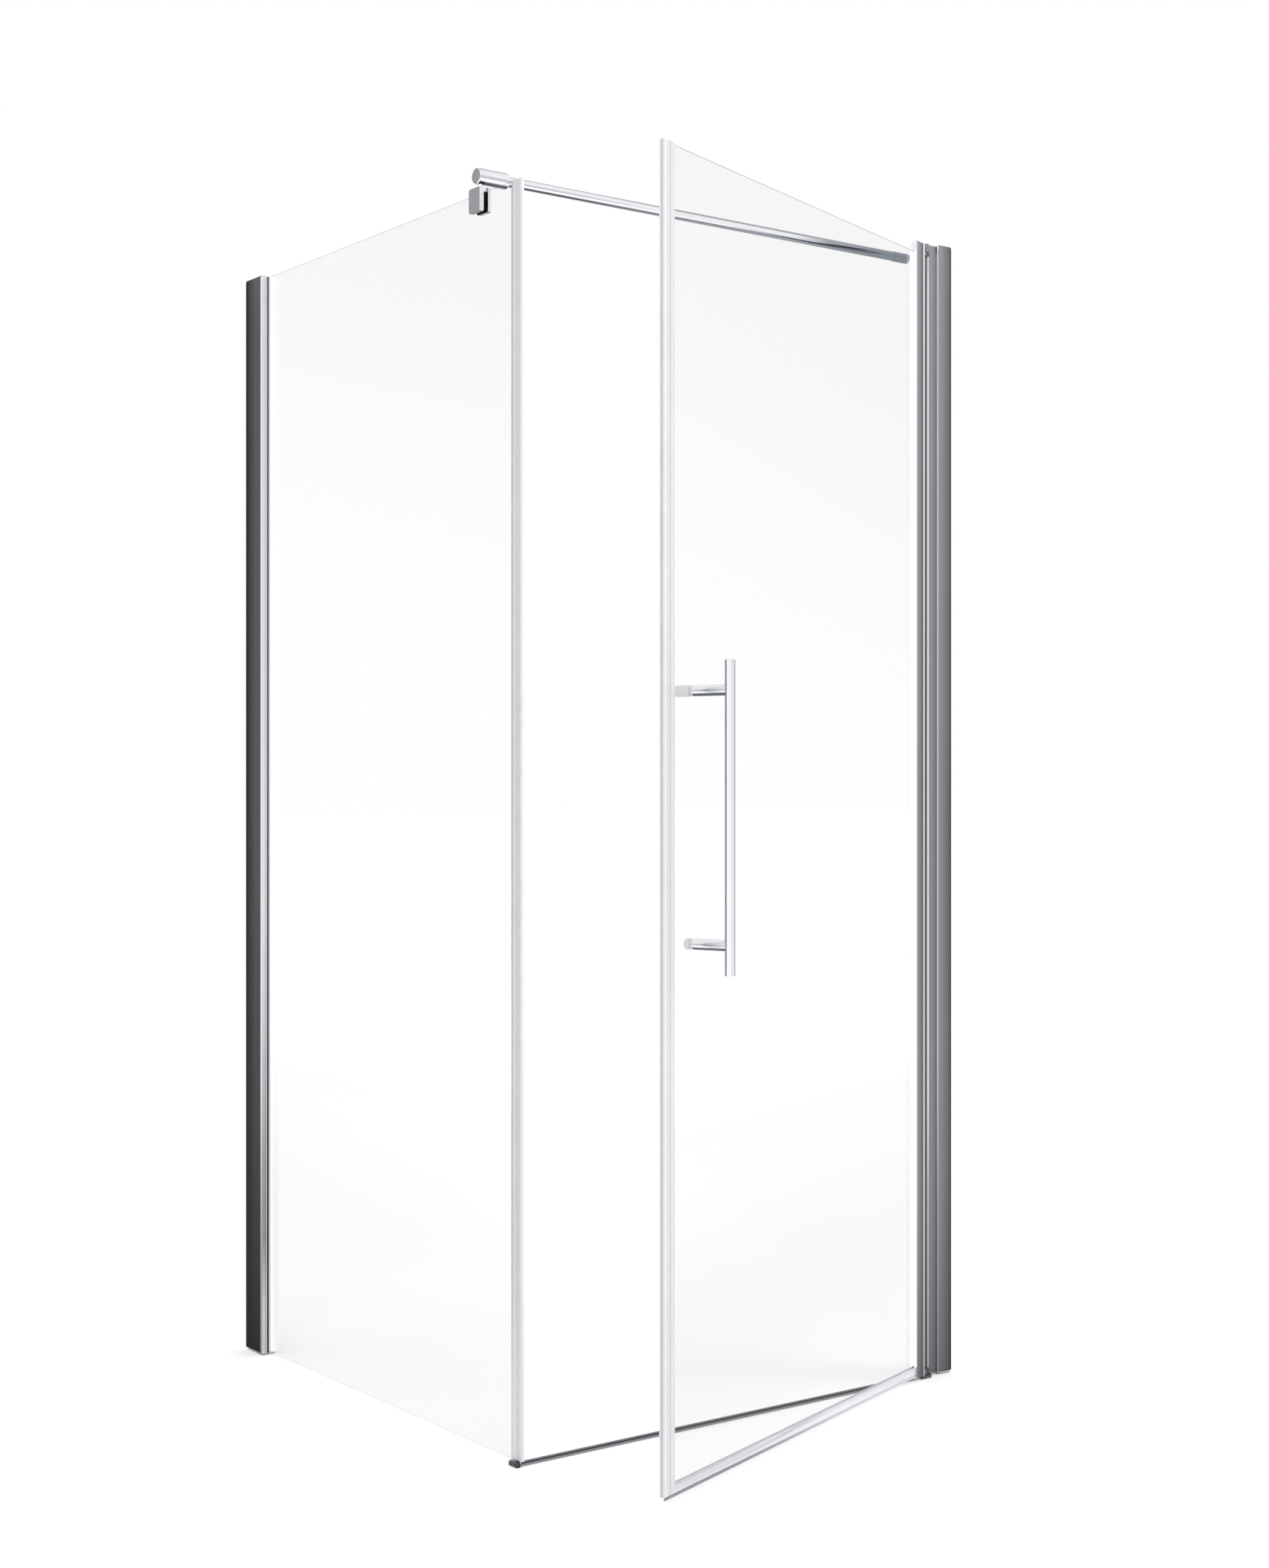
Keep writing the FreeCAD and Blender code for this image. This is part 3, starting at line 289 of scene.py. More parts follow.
def profile_finish(name, colouring, along="Z", roughness=0.3, glow=None, sheen=1.0):
    """Bright anodised aluminium with faint draw lines.
    glow gives the colour of a painted glow that keeps the narrow faces bright beside their dark neighbours,
    and sheen is how much the metal lightens when seen from the side."""
    f = finish(name)
    lines = draw_lines(f, along)
    cloud = f.noise(9.0, (1, 1, 0.4))
    wear = f.mix(f.ramp(lines, 0.35, 0.75), (1, 1, 1), (0.94, 0.94, 0.94))
    bright = {"Specular_Tint": (sheen, sheen, sheen)}
    # painted glow: emission that lifts the narrow faces the colouring picks out
    if glow:
        bright.update(Emission_Color=glow(f), Emission_Strength=1.0)
    return f.surface(Base_Color=times(f, colouring(f), wear), Metallic=1.0,
                     Roughness=roughness + lines * 0.08 + cloud * 0.05,
                     Normal=f.bump(lines, 0.00003, 0.25), **bright)


def side_profile_finish():
    """The profile at the rear wall, in painted light and shade: a dark outer face that lightens across its
    depth and darkens towards the tray, a bright front and rim whose painted shade changes with height, and
    faces behind the glass painted near white with a painted glow.
    """
    def colouring(f):
        y = f.axes(f.place())[1]
        height = height_share(f)
        # painted shade: the outer face is darkest at the wall and lighter across its depth
        outer = f.stops((SIDE_PROFILE_BACK - y) / SIDE_PROFILE_DEPTH, tones([
            (0.0, "101012"), (0.09, "18181a"), (0.22, "3b3b3e"), (0.4, "49484d"), (0.6, "59585d"),
            (0.8, "57565b"), (1.0, "504f54")]))
        # painted shade: the outer face darkens towards the tray
        outer = times(f, outer, f.stops(height, greys([
            (0.0, 0.08), (0.11, 0.3), (0.25, 0.6), (0.42, 0.84), (0.6, 0.96), (0.95, 0.98), (1.0, 1.2)])))
        # painted light and shade: the front and the rim change tone with height
        front = f.stops(height, tones([
            (0.0, "d8d6d9"), (0.04, "dfdfe1"), (0.075, "c4c4c6"), (0.108, "9b9c9e"), (0.178, "a8a8ab"),
            (0.248, "bcbcc0"), (0.318, "ceced2"), (0.42, "e0e0e3"), (1.0, "e2e2e5")]))
        rim = f.stops(height, tones([
            (0.0, "a2a2a4"), (0.04, "a5a5a8"), (0.108, "afafb2"), (0.178, "cacacd"), (0.248, "e6e6e8"),
            (0.42, "eaeaec"), (1.0, "f5f5f7")]))
        # painted shade: narrow faces turned right are a darker grey than the other narrow faces
        colour = f.mix(f.facing(LEFT), f.mix(f.facing(RIGHT), tone("dedee1"), tone("aeafb3")), outer)
        colour = f.mix(f.facing(FRONT), colour, front)
        colour = f.mix(f.ramp(y, SIDE_RIM - 0.0002, SIDE_RIM + 0.0002, 1.0, 0.0), colour, rim)
        # painted highlight: the faces behind the glass are painted near white
        return f.mix(behind_glass(f), colour, tone("f9f9fb"))

    def behind_glass(f):
        towards = f.facing(FRONT, 0.4, 0.6).most(f.facing(LEFT, 0.4, 0.6))
        return f.ramp(f.axes(f.place())[0], HALF_GLASS - 0.0005, HALF_GLASS + 0.0005) * towards

    # painted glow on the faces behind the glass
    def glow(f):
        return f.mix(behind_glass(f), (0, 0, 0), (0.16, 0.16, 0.16))
    return profile_finish("side_profile_aluminium", colouring, sheen=0.72, glow=glow)


def wall_profile_finish():
    """The profile on the right wall, in painted light and shade: a grey front with painted shade towards
    the wall and the tray, and a narrow side painted bright, with a painted glow.
    """
    def colouring(f):
        x = f.axes(f.place())[0]
        # painted shade: the front darkens towards the wall
        front = f.stops((x - WALL_PROFILE_LEFT) / WALL_PROFILE_WIDTH, tones([
            (0.0, "a2a2a6"), (0.08, "9d9ea2"), (0.31, "95969a"), (0.53, "85898d"), (0.76, "787c80"),
            (0.93, "646668"), (1.0, "505254")]))
        # painted highlight: the side turned left is near white and darkens towards the tray; other narrow
        # faces are grey
        colour = f.mix(f.facing(LEFT), tone("b4b5b9"), times(f, tone("fbfbfd"), bright_shade(f)))
        return f.mix(f.facing(FRONT, 0.3, 0.75), colour, times(f, front, room_shade(f)))

    # painted glow on the side turned left
    def glow(f):
        return times(f, f.mix(f.facing(LEFT), (0, 0, 0), (0.8, 0.8, 0.81)), bright_shade(f))
    return profile_finish("wall_profile_aluminium", colouring, glow=glow)


def post_finish():
    """The pivot post and the arm that caps it, whose nose reaches past the post, in painted light and
    shade.
    """
    def colouring(f):
        x = f.axes(f.place())[0]
        # painted shade: the front darkens towards its right edge and towards the tray
        front = f.stops((x - POST_LEFT) / POST_WIDTH, tones([
            (0.0, "97989c"), (0.4, "9b9ca0"), (0.85, "8a8b8f"), (1.0, "7a7b7f")]))
        nose = f.ramp(x, POST_LEFT - 0.0007, POST_LEFT - 0.0001, 1.0, 0.0)
        # painted highlight: faces turned left are near white, darker towards the tray; other faces are grey
        colour = f.mix(f.facing(LEFT), tone("b4b5b9"), times(f, tone("f6f6f9"), bright_shade(f)))
        # painted light and shade on the nose: near white on its faces turned right, grey on the others
        colour = f.mix(nose, colour, f.mix(f.facing(RIGHT, 0.25, 0.4), tone("8e8f94"), tone("f6f6f9")))
        return f.mix(f.facing(FRONT), colour, times(f, f.mix(nose, front, tone("96979b")), room_shade(f)))
    return profile_finish("post_aluminium", colouring)


def hinge_profile_finish():
    """The profile that grips the door's glass, in painted light and shade: a groove painted bright as a
    highlight between two grey faces that darken towards the pivot and the tray.
    """
    def colouring(f):
        # painted light and shade across the front: grey faces darker towards the pivot, with a painted
        # highlight band between them
        front = f.stops(door_share(f, 0.0, HINGE_WIDTH), tones([
            (0.0, "232428"), (0.08, "2a2b2f"), (0.12, "7c7d82"), (0.3, "85868a"), (0.33, "fbfbfd"),
            (0.44, "fbfbfd"), (0.48, "5c5d61"), (0.53, "636468"), (0.62, "7a7b7f"), (0.71, "8e8e93"),
            (0.9, "9f9fa4"), (1.0, "a4a4a9")]))
        height = height_share(f)
        # painted highlight: the side towards the free edge is near white, brightest at its top end and
        # darker towards the tray
        side = times(f, f.mix(f.ramp(height, 0.9995, 1.0005), tone("e4e3e9"), tone("f4f3f8")),
                     f.stops(height, greys([(0.0, 0.8), (0.2, 1.0)])))
        colour = f.mix(f.facing(TO_FREE_EDGE), tone("b4b5b9"), side)
        colour = f.mix(f.facing(OUT_OF_DOOR), colour, times(f, front, room_shade(f)))
        # painted highlight: the faces behind the glass are painted near white
        inner = f.ramp(door_depth(f), -HALF_GLASS - 0.0005, -HALF_GLASS, 1.0, 0.0)
        return f.mix(inner, colour, tone("fafafc"))
    return profile_finish("hinge_profile_aluminium", colouring)


def bead_finish():
    """The round bead on the pivot line."""
    def colouring(f):
        # painted shade: the side turned right is dark, and the bead darkens towards the tray
        return times(f, f.mix(f.facing(RIGHT, 0.2, 0.7), tone("808186"), tone("3a3b3f")), room_shade(f))
    return profile_finish("hinge_bead_grey", colouring)


def rail_finish():
    """The rail on the tray, with painted shade: dark along its upper edge and on its faces not turned to
    the front.
    """
    def colouring(f):
        z = f.axes(f.place())[2]
        # painted shade: the front darkens towards its upper edge
        front = f.stops(z / RAIL_HEIGHT, tones([
            (0.0, "8b8b90"), (0.15, "949499"), (0.6, "7c7d82"), (0.78, "46474a"), (1.0, "38393c")]))
        return f.mix(f.facing(FRONT, 0.2, 0.5), tone("56575c"), front)
    return profile_finish("rail_aluminium", colouring, along="X", roughness=0.22)


def foot_finish():
    """Foot under a profile, in painted light and shade: a painted highlight in the middle, painted shade
    where it meets the tray and the profile.
    """
    def colouring(f):
        z = f.axes(f.place())[2]
        return f.stops(z / FOOT_HEIGHT, tones([
            (0.0, "4e4f53"), (0.22, "5a5b5f"), (0.32, "b4b5ba"), (0.7, "c4c5c9"), (0.85, "808186"),
            (1.0, "6a6b6f")]))
    return profile_finish("foot_metal", colouring, along="X", roughness=0.24)


def block_finish():
    """The lower pivot's block, in painted light and shade: a painted highlight where it meets the tray,
    darker sides above it and a grey top.
    """
    def colouring(f):
        z = f.axes(f.place())[2]
        side = f.stops(z / BLOCK_HEIGHT, tones([
            (0.0, "c9cace"), (0.16, "b0b1b6"), (0.24, "54555a"), (0.7, "6a6b70"), (1.0, "4a4b50")]))
        return f.mix(f.facing(UP), side, tone("85868b"))
    return profile_finish("pivot_block_metal", colouring, roughness=0.2)


# painted reflection bands of the level bars, from where the surface turns down (-1) to where it turns up
# (1)
BRIGHT_REFLECTION_BANDS = [
    (-0.99, "bebec3"), (-0.95, "34373e"), (-0.9, "363940"), (-0.86, "44474e"), (-0.8, "64676d"),
    (-0.74, "888b90"), (-0.69, "c4c6ca"), (-0.64, "fafafc"), (-0.45, "f6f6f9"), (-0.4, "d2d1d7"),
    (-0.21, "cccbd1"), (-0.06, "d6d5da"), (0.0, "f0f0f4"), (0.17, "f7f7fa"), (0.31, "ebebef"),
    (0.6, "f0f0f4"), (0.66, "bcbdc1"), (0.72, "a6a7ab"), (0.85, "a2a3a7"), (1.0, "b0b1b5")]
POST_REFLECTION_RUNS = ((0.0, [
    (-0.99, "b4b6ba"), (-0.9, "7a7f87"), (-0.8, "474e58"), (-0.62, "666b73"), (-0.5, "7c8188"),
    (-0.44, "dcdde0"), (-0.4, "fafafd"), (0.1, "fcfcfe"), (0.3, "f2f2f6"), (0.5, "e8e8ec"),
    (0.62, "f0f0f4"), (0.8, "f2f2f5"), (0.93, "e4e4e8"), (1.0, "dcdce0")]),)
BAR_REFLECTION_RUNS = (
    (0.13, BRIGHT_REFLECTION_BANDS),
    (0.446, [(-0.99, "9b9da0"), (-0.92, "7d8187"), (-0.82, "92959a"), (-0.7, "8b8f95"), (-0.62, "c8cacd"),
             (-0.56, "f6f6f8"), (-0.1, "fcfcfd"), (0.27, "f1f1f4"), (0.43, "dbdce0"), (0.55, "8e9197"),
             (0.85, "94969a")]),
    (0.606, [(-0.99, "8d9196"), (-0.82, "979ba0"), (-0.7, "9a9ea3"), (-0.52, "8c9096"),
             (-0.42, "c8cacc"), (-0.34, "fafafb"), (0.12, "fcfcfd"), (0.27, "eeeef0"), (0.42, "b1b4b9"),
             (0.6, "a2a6ac"), (0.85, "8d9197")]),
    (0.723, [(-0.99, "7b8188"), (-0.8, "888e96"), (-0.5, "848a92"), (-0.2, "8a9098"), (0.0, "9ea3a9"),
             (0.2, "aaafb4"), (0.6, "a3a8ae"), (0.85, "8e939a")]),
    (0.83, [(-1.0, "757c85"), (-0.5, "787f88"), (-0.3, "80878f"), (0.4, "8d939b"), (0.9, "7f868f")]),
)


def clouded(f, colour, depth=0.12):
    """The faint clouding of a polished plating."""
    cloud = f.noise(26.0, detail=3.0)
    return f.mix(f.ramp(cloud, 0.35, 0.75, 0.0, depth), colour, tone("85888f")), cloud


def upright_chrome_finish(name, base):
    """Polished plating of an upright round bar with painted reflections: fine dark lines where it turns
    away to the sides, bright bands between.
    """
    f = finish(name)
    colour = f.stops(f.towards(HANDLE_RIGHT) * 0.5 + 0.5, tones([
        (0.0, "88878b"), (0.06, "7d7e82"), (0.127, "929297"), (0.16, "d6d6da"), (0.19, "ffffff"),
        (0.26, "fafafd"), (0.53, "f7f8fb"), (0.6, "ebecef"), (0.66, "dedfe3"), (0.79, "ecedf0"),
        (0.87, "e2e3e6"), (0.915, "949599"), (0.95, "949599"), (0.99, "d4d5d9")]))
    colour, cloud = clouded(f, times(f, colour, base), 0.03)
    return f.surface(Base_Color=colour, Metallic=1.0, Roughness=0.07 + cloud * 0.03)


def streaked(f, colour, x):
    """The dark reflection that runs up and tapers out along the wall end of the bar."""
    upward = f.axes(f.normal())[2]
    middle = f.ramp(x, 0.66, 0.8) * 0.6 - 0.62
    width = f.ramp(x, 0.57, 0.73, 0.02, 0.17) * f.ramp(x, 0.74, 0.815, 1.0, 0.02)
    away = (upward - middle).most(middle - upward) / width
    return f.mix(f.ramp(away, 0.55, 1.15, 1.0, 0.0) * f.ramp(x, 0.56, 0.6), colour, tone("2b333d"))


def bands(f, places):
    """Painted reflection tones of a level round bar by how far its surface turns down (-1) or up (1)."""
    upward = f.axes(f.normal())[2] * 0.5 + 0.5
    return f.stops(upward, tones([((turn + 1) / 2, code) for turn, code in places]))


def level_chrome_finish(name, base, runs, roughness=0.08):
    """Polished plating of a level round bar.
    runs are the painted reflection bands it shows at places along X, each turning into the next.
    Where there is more than one, it also shows the painted dark reflection streak at the long bar's wall
    end."""
    f = finish(name)
    x = f.axes(f.place())[0]
    last, places = runs[0]
    colour = bands(f, places)
    for start, places in runs[1:]:
        colour = f.mix(f.ramp(x, last, start), colour, bands(f, places))
        last = start
    if len(runs) > 1:
        colour = streaked(f, colour, x)
    # painted reflection: the flat ends are a flat grey
    ends = f.facing(LEFT, 0.9, 0.97).most(f.facing(RIGHT, 0.9, 0.97))
    colour = f.mix(ends, colour, tone("959599"))
    colour, cloud = clouded(f, times(f, colour, base), 0.02)
    return f.surface(Base_Color=colour, Metallic=1.0, Roughness=cloud * 0.04 + roughness)


def plain_chrome_finish(name, base):
    """Polished plating of a small part."""
    f = finish(name)
    colour, cloud = clouded(f, base)
    wipe = f.noise(180.0, (1, 1, 0.2))
    return f.surface(Base_Color=colour, Metallic=1.0, Roughness=0.06 + cloud * 0.03 + wipe * 0.02)


def dark_chrome_finish():
    """Dark polished shoe with painted reflections: mottled with what it mirrors, bright at its foot and top
    rim, dark between, with a grey top.
    """
    f = finish("dark_chrome")
    z = f.axes(f.place())[2]
    cloud = f.noise(170.0, (1, 1, 1.6), detail=3.0)
    # painted reflection: the sides are bright at the tray and at the top rim and dark between
    side = f.stops(z / BLOCK_HEIGHT, tones([
        (0.0, "a8a9ad"), (0.1, "77787c"), (0.18, "2e2f33"), (0.5, "4c4d51"), (0.8, "38393d"),
        (0.95, "5f6064"), (1.0, "8a8b90")]))
    colour = f.mix(f.facing(UP), side, tone("54555a"))
    # painted reflection: light and dark mottling of what the shoe mirrors
    colour = f.mix(f.ramp(cloud, 0.56, 0.66, 0.0, 0.7), colour, tone("b4b5ba"))
    colour = f.mix(f.ramp(cloud, 0.47, 0.38, 0.0, 0.8), colour, tone("1e1f22"))
    return f.surface(Base_Color=colour, Metallic=1.0, Roughness=0.14 + cloud * 0.1)


def clamp_finish():
    """Plated clamp jaw in painted light and shade: grey broad face, bright narrow edges, dark underside."""
    f = finish("clamp_chrome")
    z = f.axes(f.place())[2]
    # painted highlight on the narrow edges, and below, painted shade on the underside
    colour = f.mix(f.facing(LEFT), tone("eceaef"), tone("97979b"))
    colour = f.mix(f.facing(DOWN), colour, tone("5c5d62"))
    colour = f.mix(f.facing(RIGHT), colour, tone("b9bac0"))
    colour, cloud = clouded(f, colour, 0.05)
    return f.surface(Base_Color=colour, Metallic=1.0, Roughness=0.16 + cloud * 0.06 + z * 0.01)


def steel_finish():
    """Brushed steel of the pins and screws."""
    f = finish("brushed_steel")
    lines = f.noise(2600.0, (1, 0.06, 1))
    colour = f.mix(f.ramp(lines, 0.3, 0.7), tone("a6a8ab"), tone("c2c4c7"))
    return f.surface(Base_Color=colour, Metallic=1.0, Roughness=0.26 + lines * 0.1,
                     Normal=f.bump(lines, 0.00003, 0.4))


def glass_finish(name, outward, along, slope, low_grey, out_of_pane, top):
    """Clear pane: soft stepped bands of painted reflection high up, a faint grey low down, and a grey line
    along its upper edge.
    slope is how the painted bands fall along X and Y, low_grey the strength of the grey low down at the
    tray and above it, out_of_pane measures how far a place lies in front of the pane's outer face, in
    metres, and top is the height of the pane's upper edge."""
    f = finish(name)
    x, y, z = f.axes(f.place())
    level = z + x * slope[0] + y * slope[1]
    # painted reflection: the pane turns greyer in soft steps higher up
    soft = (level + BAND_STEP / 2).snapped(BAND_STEP) * 0.45 + level * 0.55
    high = f.ramp(soft, 1.05, 2.05)
    low = (f.ramp(z, 0.58, 0.5) * 0.55 + f.ramp(z, 0.5, 0.25) * 0.45) * f.ramp(z, 0.0, 0.2, *low_grey)
    body = (high + low) * 0.048 + 0.0015 + f.noise(2.2, detail=1.0) * 0.001
    arris = f.facing(outward, 0.4, 0.6) * f.ramp(out_of_pane(f), -ARRIS_DEPTH, 0.001 - ARRIS_DEPTH)
    arris = arris * f.ramp(z, top - ARRIS_HEIGHT, top - ARRIS_HEIGHT + 0.0005)
    ground = f.facing(along, 0.85, 0.97).most(f.facing(-along, 0.85, 0.97))
    colour = f.mix(ground, f.mix(arris, tone("565656"), tone("7c7f7f")), tone("c0c4c4"))
    return f.surface(Base_Color=colour, Roughness=0.03, Specular_IOR_Level=0.12,
                     Alpha=body + arris * 0.42 + ground * 0.1)


def seal_finish(name, alpha, lines=None, base=CLEAR, glow=0.0, foot=0.0):
    """Clear extruded plastic, with the shaded lines of its walls where a run of them is given.
    glow is the strength of a painted glow in the seal's own colour,
    and foot is how much the painted lines of an upright one fade to pale towards the tray."""
    f = finish(name)
    fine = f.noise(700.0, (0.02, 0.02, 1) if glow else (1, 1, 0.01))
    cloud = f.noise(30.0)
    colour, body = f.mix(cloud, tone(base), tone("e6e7ec")), alpha + cloud * 0.08
    if lines:
        across, stops = lines(f)
        colour = f.stops(across, tones(stops))
        colour = f.mix(cloud * 0.12, colour, tone("ffffff"))
        if foot:
            # painted shade lines fade to pale towards the tray
            colour = f.mix(f.ramp(height_share(f), 0.02, 0.16, foot, 0.0), colour, tone("f0f0f4"))
        # painted highlight: faces turned up are near white
        colour = f.mix(f.facing(UP, 0.4, 0.7), colour, tone("f4f4f8"))
    # painted glow: the seal gives off its own colour as light, by glow
    return f.surface(Base_Color=colour, Roughness=0.2 + fine * 0.12, IOR=1.5, Alpha=body,
                     Specular_IOR_Level=0.3, Emission_Color=colour, Emission_Strength=glow,
                     Normal=f.bump(fine, 0.00002, 0.2))


def side_seal_lines(f):
    """Painted shade lines of the strip's walls, which run across it from its back edge to its front one."""
    y = f.axes(f.place())[1]
    return (SIDE_SEAL_BACK - y) / SIDE_SEAL_DEPTH, [
        (0.0, "a8a8aa"), (0.09, "aeaeb0"), (0.13, "cbcbd0"), (0.3, "cfced3"), (0.34, "f2f1f6"),
        (0.4, "dad9de"), (0.45, "bfbec3"), (0.5, "cfced3"), (0.56, "e8e7ec"), (0.62, "cac9ce"),
        (0.7, "e0dfe4"), (0.76, "e6e5ea"), (0.82, "dad9de"), (0.88, "f4f3f8"), (1.0, "f9f9fc")]


def door_seal_lines(f):
    """Painted shade lines of the strip's walls, which run slantwise through it, from the back of its free
    side to its inner front.
    """
    inward = door_share(f, DOOR_SEAL_FREE, DOOR_SEAL_INNER) + SEAL_SHIFT
    return inward + (door_depth(f) - DOOR_SEAL_FRONT) * SEAL_LEAN, [
        (0.0, "fafafa"), (0.05, "f0f0f2"), (0.12, "ececee"), (0.16, "a9a9ac"), (0.2, "d6d6da"),
        (0.27, "ededf1"), (0.42, "fbfbfd"), (0.5, "efeff3"), (0.55, "dcdce0"), (0.6, "f3f3f7"),
        (0.65, "e2e2e6"), (0.7, "cfcfd3"), (0.8, "efeff1"), (0.9, "dcdce0"), (0.97, "f4f4f5")]


def bottom_seal_lines(f):
    """Shaded towards the free edge, on the front wall; the hinge's end and the rear wall stay pale."""
    across = (f.axes(f.place())[2] - BOTTOM_SEAL_FOOT) / BOTTOM_SEAL_HEIGHT
    near_hinge = f.ramp(door_share(f, 0.0, 1.0), 0.3, 0.7, 0.8, 0.0)
    rear = f.ramp(door_depth(f), BOTTOM_SEAL_REAR, BOTTOM_SEAL_REAR - 0.0004, 0.0, 0.8)
    return across + (0.22 - across) * near_hinge.most(rear), [
        (0.0, "9c9da1"), (0.1, "b4b5b9"), (0.18, "ececf0"), (0.3, "e6e7ea"), (0.46, "c6c7cb"),
        (0.52, "bcbdc1"), (0.58, "d6d7db"), (0.72, "dcdde1"), (0.86, "c8c9cd"), (0.94, "bcbcc0"),
        (1.0, "c4c4c8")]


def pale_gasket_finish(name):
    """Pale liner between glass and profile, lifted by a painted glow."""
    f = finish(name)
    fine = f.noise(700.0, (1, 1, 0.01))
    colour = f.mix(fine, tone("f0f0f3"), tone("fafafb"))
    # painted glow that lifts the liner where it sits in shade
    painted_glow = f.mix(fine, (0.5, 0.5, 0.52), (0.58, 0.58, 0.59))
    return f.surface(Base_Color=colour, Roughness=0.4 + fine * 0.1, Emission_Color=painted_glow,
                     Emission_Strength=1.0, Normal=f.bump(fine, 0.00002, 0.2))


def soft_lip_finish():
    """Smoky lip under the door, paler towards the hinge."""
    f = finish("smoky_lip")
    fine = f.noise(900.0, (0.02, 0.02, 1))
    colour = f.mix(fine, tone("85868a"), tone("a2a3a7"))
    colour = f.mix(f.ramp(door_share(f, 0.0, 1.0), 0.2, 0.65, 0.85, 0.0), colour, tone("e8e8ec"))
    return f.surface(Base_Color=colour, Roughness=0.5, Alpha=0.85 + fine * 0.1,
                     Normal=f.bump(fine, 0.00005, 0.4))


def gasket_finish():
    """Black rubber with painted light: grey higher up, and its side towards the glass profile painted near
    white.
    """
    f = finish("black_rubber")
    grain = f.noise(2400.0, detail=3.0)
    colour = f.mix(grain, (0.006, 0.006, 0.008), (0.02, 0.02, 0.022))
    # painted light: the rubber turns grey higher up
    colour = f.mix(f.ramp(height_share(f), 0.2, 0.6, 0.0, 0.75), colour, tone("505156"))
    # painted highlight: the side turned left is near white
    return f.surface(Base_Color=f.mix(f.facing(LEFT), colour, tone("f2f2f4")), Roughness=0.62 + grain * 0.2,
                     Specular_IOR_Level=0.03, Normal=f.bump(grain, 0.00008, 0.5))


def clamp_gasket_finish():
    """Black rubber between the clamp's jaws."""
    f = finish("clamp_rubber")
    grain = f.noise(2400.0, detail=3.0)
    colour = f.mix(grain, (0.001, 0.001, 0.0012), (0.005, 0.005, 0.006))
    return f.surface(Base_Color=colour, Roughness=0.6 + grain * 0.2, Specular_IOR_Level=0.03,
                     Normal=f.bump(grain, 0.00008, 0.5))


def black_plastic_finish():
    """Black moulding of the bushes and the washer."""
    f = finish("black_moulding")
    grain = f.noise(1500.0)
    colour = f.mix(grain, (0.015, 0.015, 0.017), (0.04, 0.04, 0.044))
    return f.surface(Base_Color=colour, Roughness=0.4 + grain * 0.15, Normal=f.bump(grain, 0.00006, 0.4))


def grey_plastic_finish(name, base):
    """Grey moulding of the caps."""
    f = finish(name)
    grain = f.noise(1300.0)
    cloud = f.noise(35.0)
    colour = f.mix(f.ramp(cloud, 0.35, 0.7, 0.0, 0.5), base, tuple(c * 0.88 for c in base))
    return f.surface(Base_Color=colour, Roughness=0.36 + grain * 0.16, Normal=f.bump(grain, 0.00006, 0.4))


def pale_plastic_finish(name):
    """Milky moulding of the inner knobs, lifted by a faint painted glow."""
    f = finish(name)
    grain = f.noise(1300.0)
    colour = f.mix(grain, tone("c4c4c6"), tone("cbcbcd"))
    # painted glow that lifts the knobs where they sit in shade
    painted_glow = f.mix(grain, (0.12, 0.12, 0.12), (0.16, 0.16, 0.16))
    return f.surface(Base_Color=colour, Roughness=0.45 + grain * 0.15, Specular_IOR_Level=0.2,
                     Emission_Color=painted_glow, Emission_Strength=1.0, Normal=f.bump(grain, 0.00005, 0.3))


def magnet_finish():
    """The magnet strip inside a seal."""
    f = finish("magnet_strip")
    grain = f.noise(900.0, (1, 1, 0.3))
    colour = f.mix(grain, tone("dcdde0"), tone("e8e9ec"))
    return f.surface(Base_Color=colour, Roughness=0.45 + grain * 0.15, Normal=f.bump(grain, 0.00005, 0.3))


FINISHES = {}


def made(maker, *args, **options):
    """Each finish is made once; its maker and name, the first argument, tell it from the others."""
    key = (maker.__name__, *args[:1])
    if key not in FINISHES:
        FINISHES[key] = maker(*args, **options)
    return FINISHES[key]


def dress(node, material):
    """A CAD node that keeps its shape gets its finish."""
    piece = frame["nodes"][node]
    if not piece.material_slots:
        piece.data.materials.append(material)
    for slot in piece.material_slots:
        slot.material = material


# pieces


def top_of(node):
    """Height of a node's highest point at rest, in metres."""
    part = frame["nodes"][node]
    return max((part.matrix_world @ corner.co).z for corner in part.data.vertices)


def body_of(node):
    """The body that a node rides on."""
    return next(body for body, members in frame["record"]["behaviour"]["bodies"].items() if node in members)


def rounded(node, name, material, width, segments=2):
    """A piece that stands for a CAD node, with its sharp edges eased by a small radius."""
    mesh = frame["nodes"][node].data.copy()
    mesh.name = name
    work = bmesh.new()
    work.from_mesh(mesh)
    bmesh.ops.remove_doubles(work, verts=work.verts, dist=SAME_POINT)
    bmesh.ops.dissolve_limit(work, angle_limit=SAME_PLANE, verts=work.verts, edges=work.edges)
    work.to_mesh(mesh)
    work.free()
    if "custom_normal" in mesh.attributes:
        mesh.attributes.remove(mesh.attributes["custom_normal"])
    mesh.materials.clear()
    mesh.materials.append(material)
    piece = bpy.data.objects.new(name, mesh)
    bpy.context.scene.collection.objects.link(piece)
    ease = piece.modifiers.new("eased_edges", "BEVEL")
    ease.width = width
    ease.segments = segments
    ease.limit_method = "ANGLE"
    ease.angle_limit = EASED_EDGE
    ease.use_clamp_overlap = True
    smooth(piece)
    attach(piece, body_of(node))
    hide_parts(node)


def smooth(piece):
    """Shades a piece smooth and keeps its sharp edges."""
    mesh = piece.data
    mesh.shade_smooth()
    work = bmesh.new()
    work.from_mesh(mesh)
    for edge in work.edges:
        if len(edge.link_faces) != 2 or edge.calc_face_angle(0) > SHARP_EDGE:
            edge.smooth = False
    work.to_mesh(mesh)
    work.free()


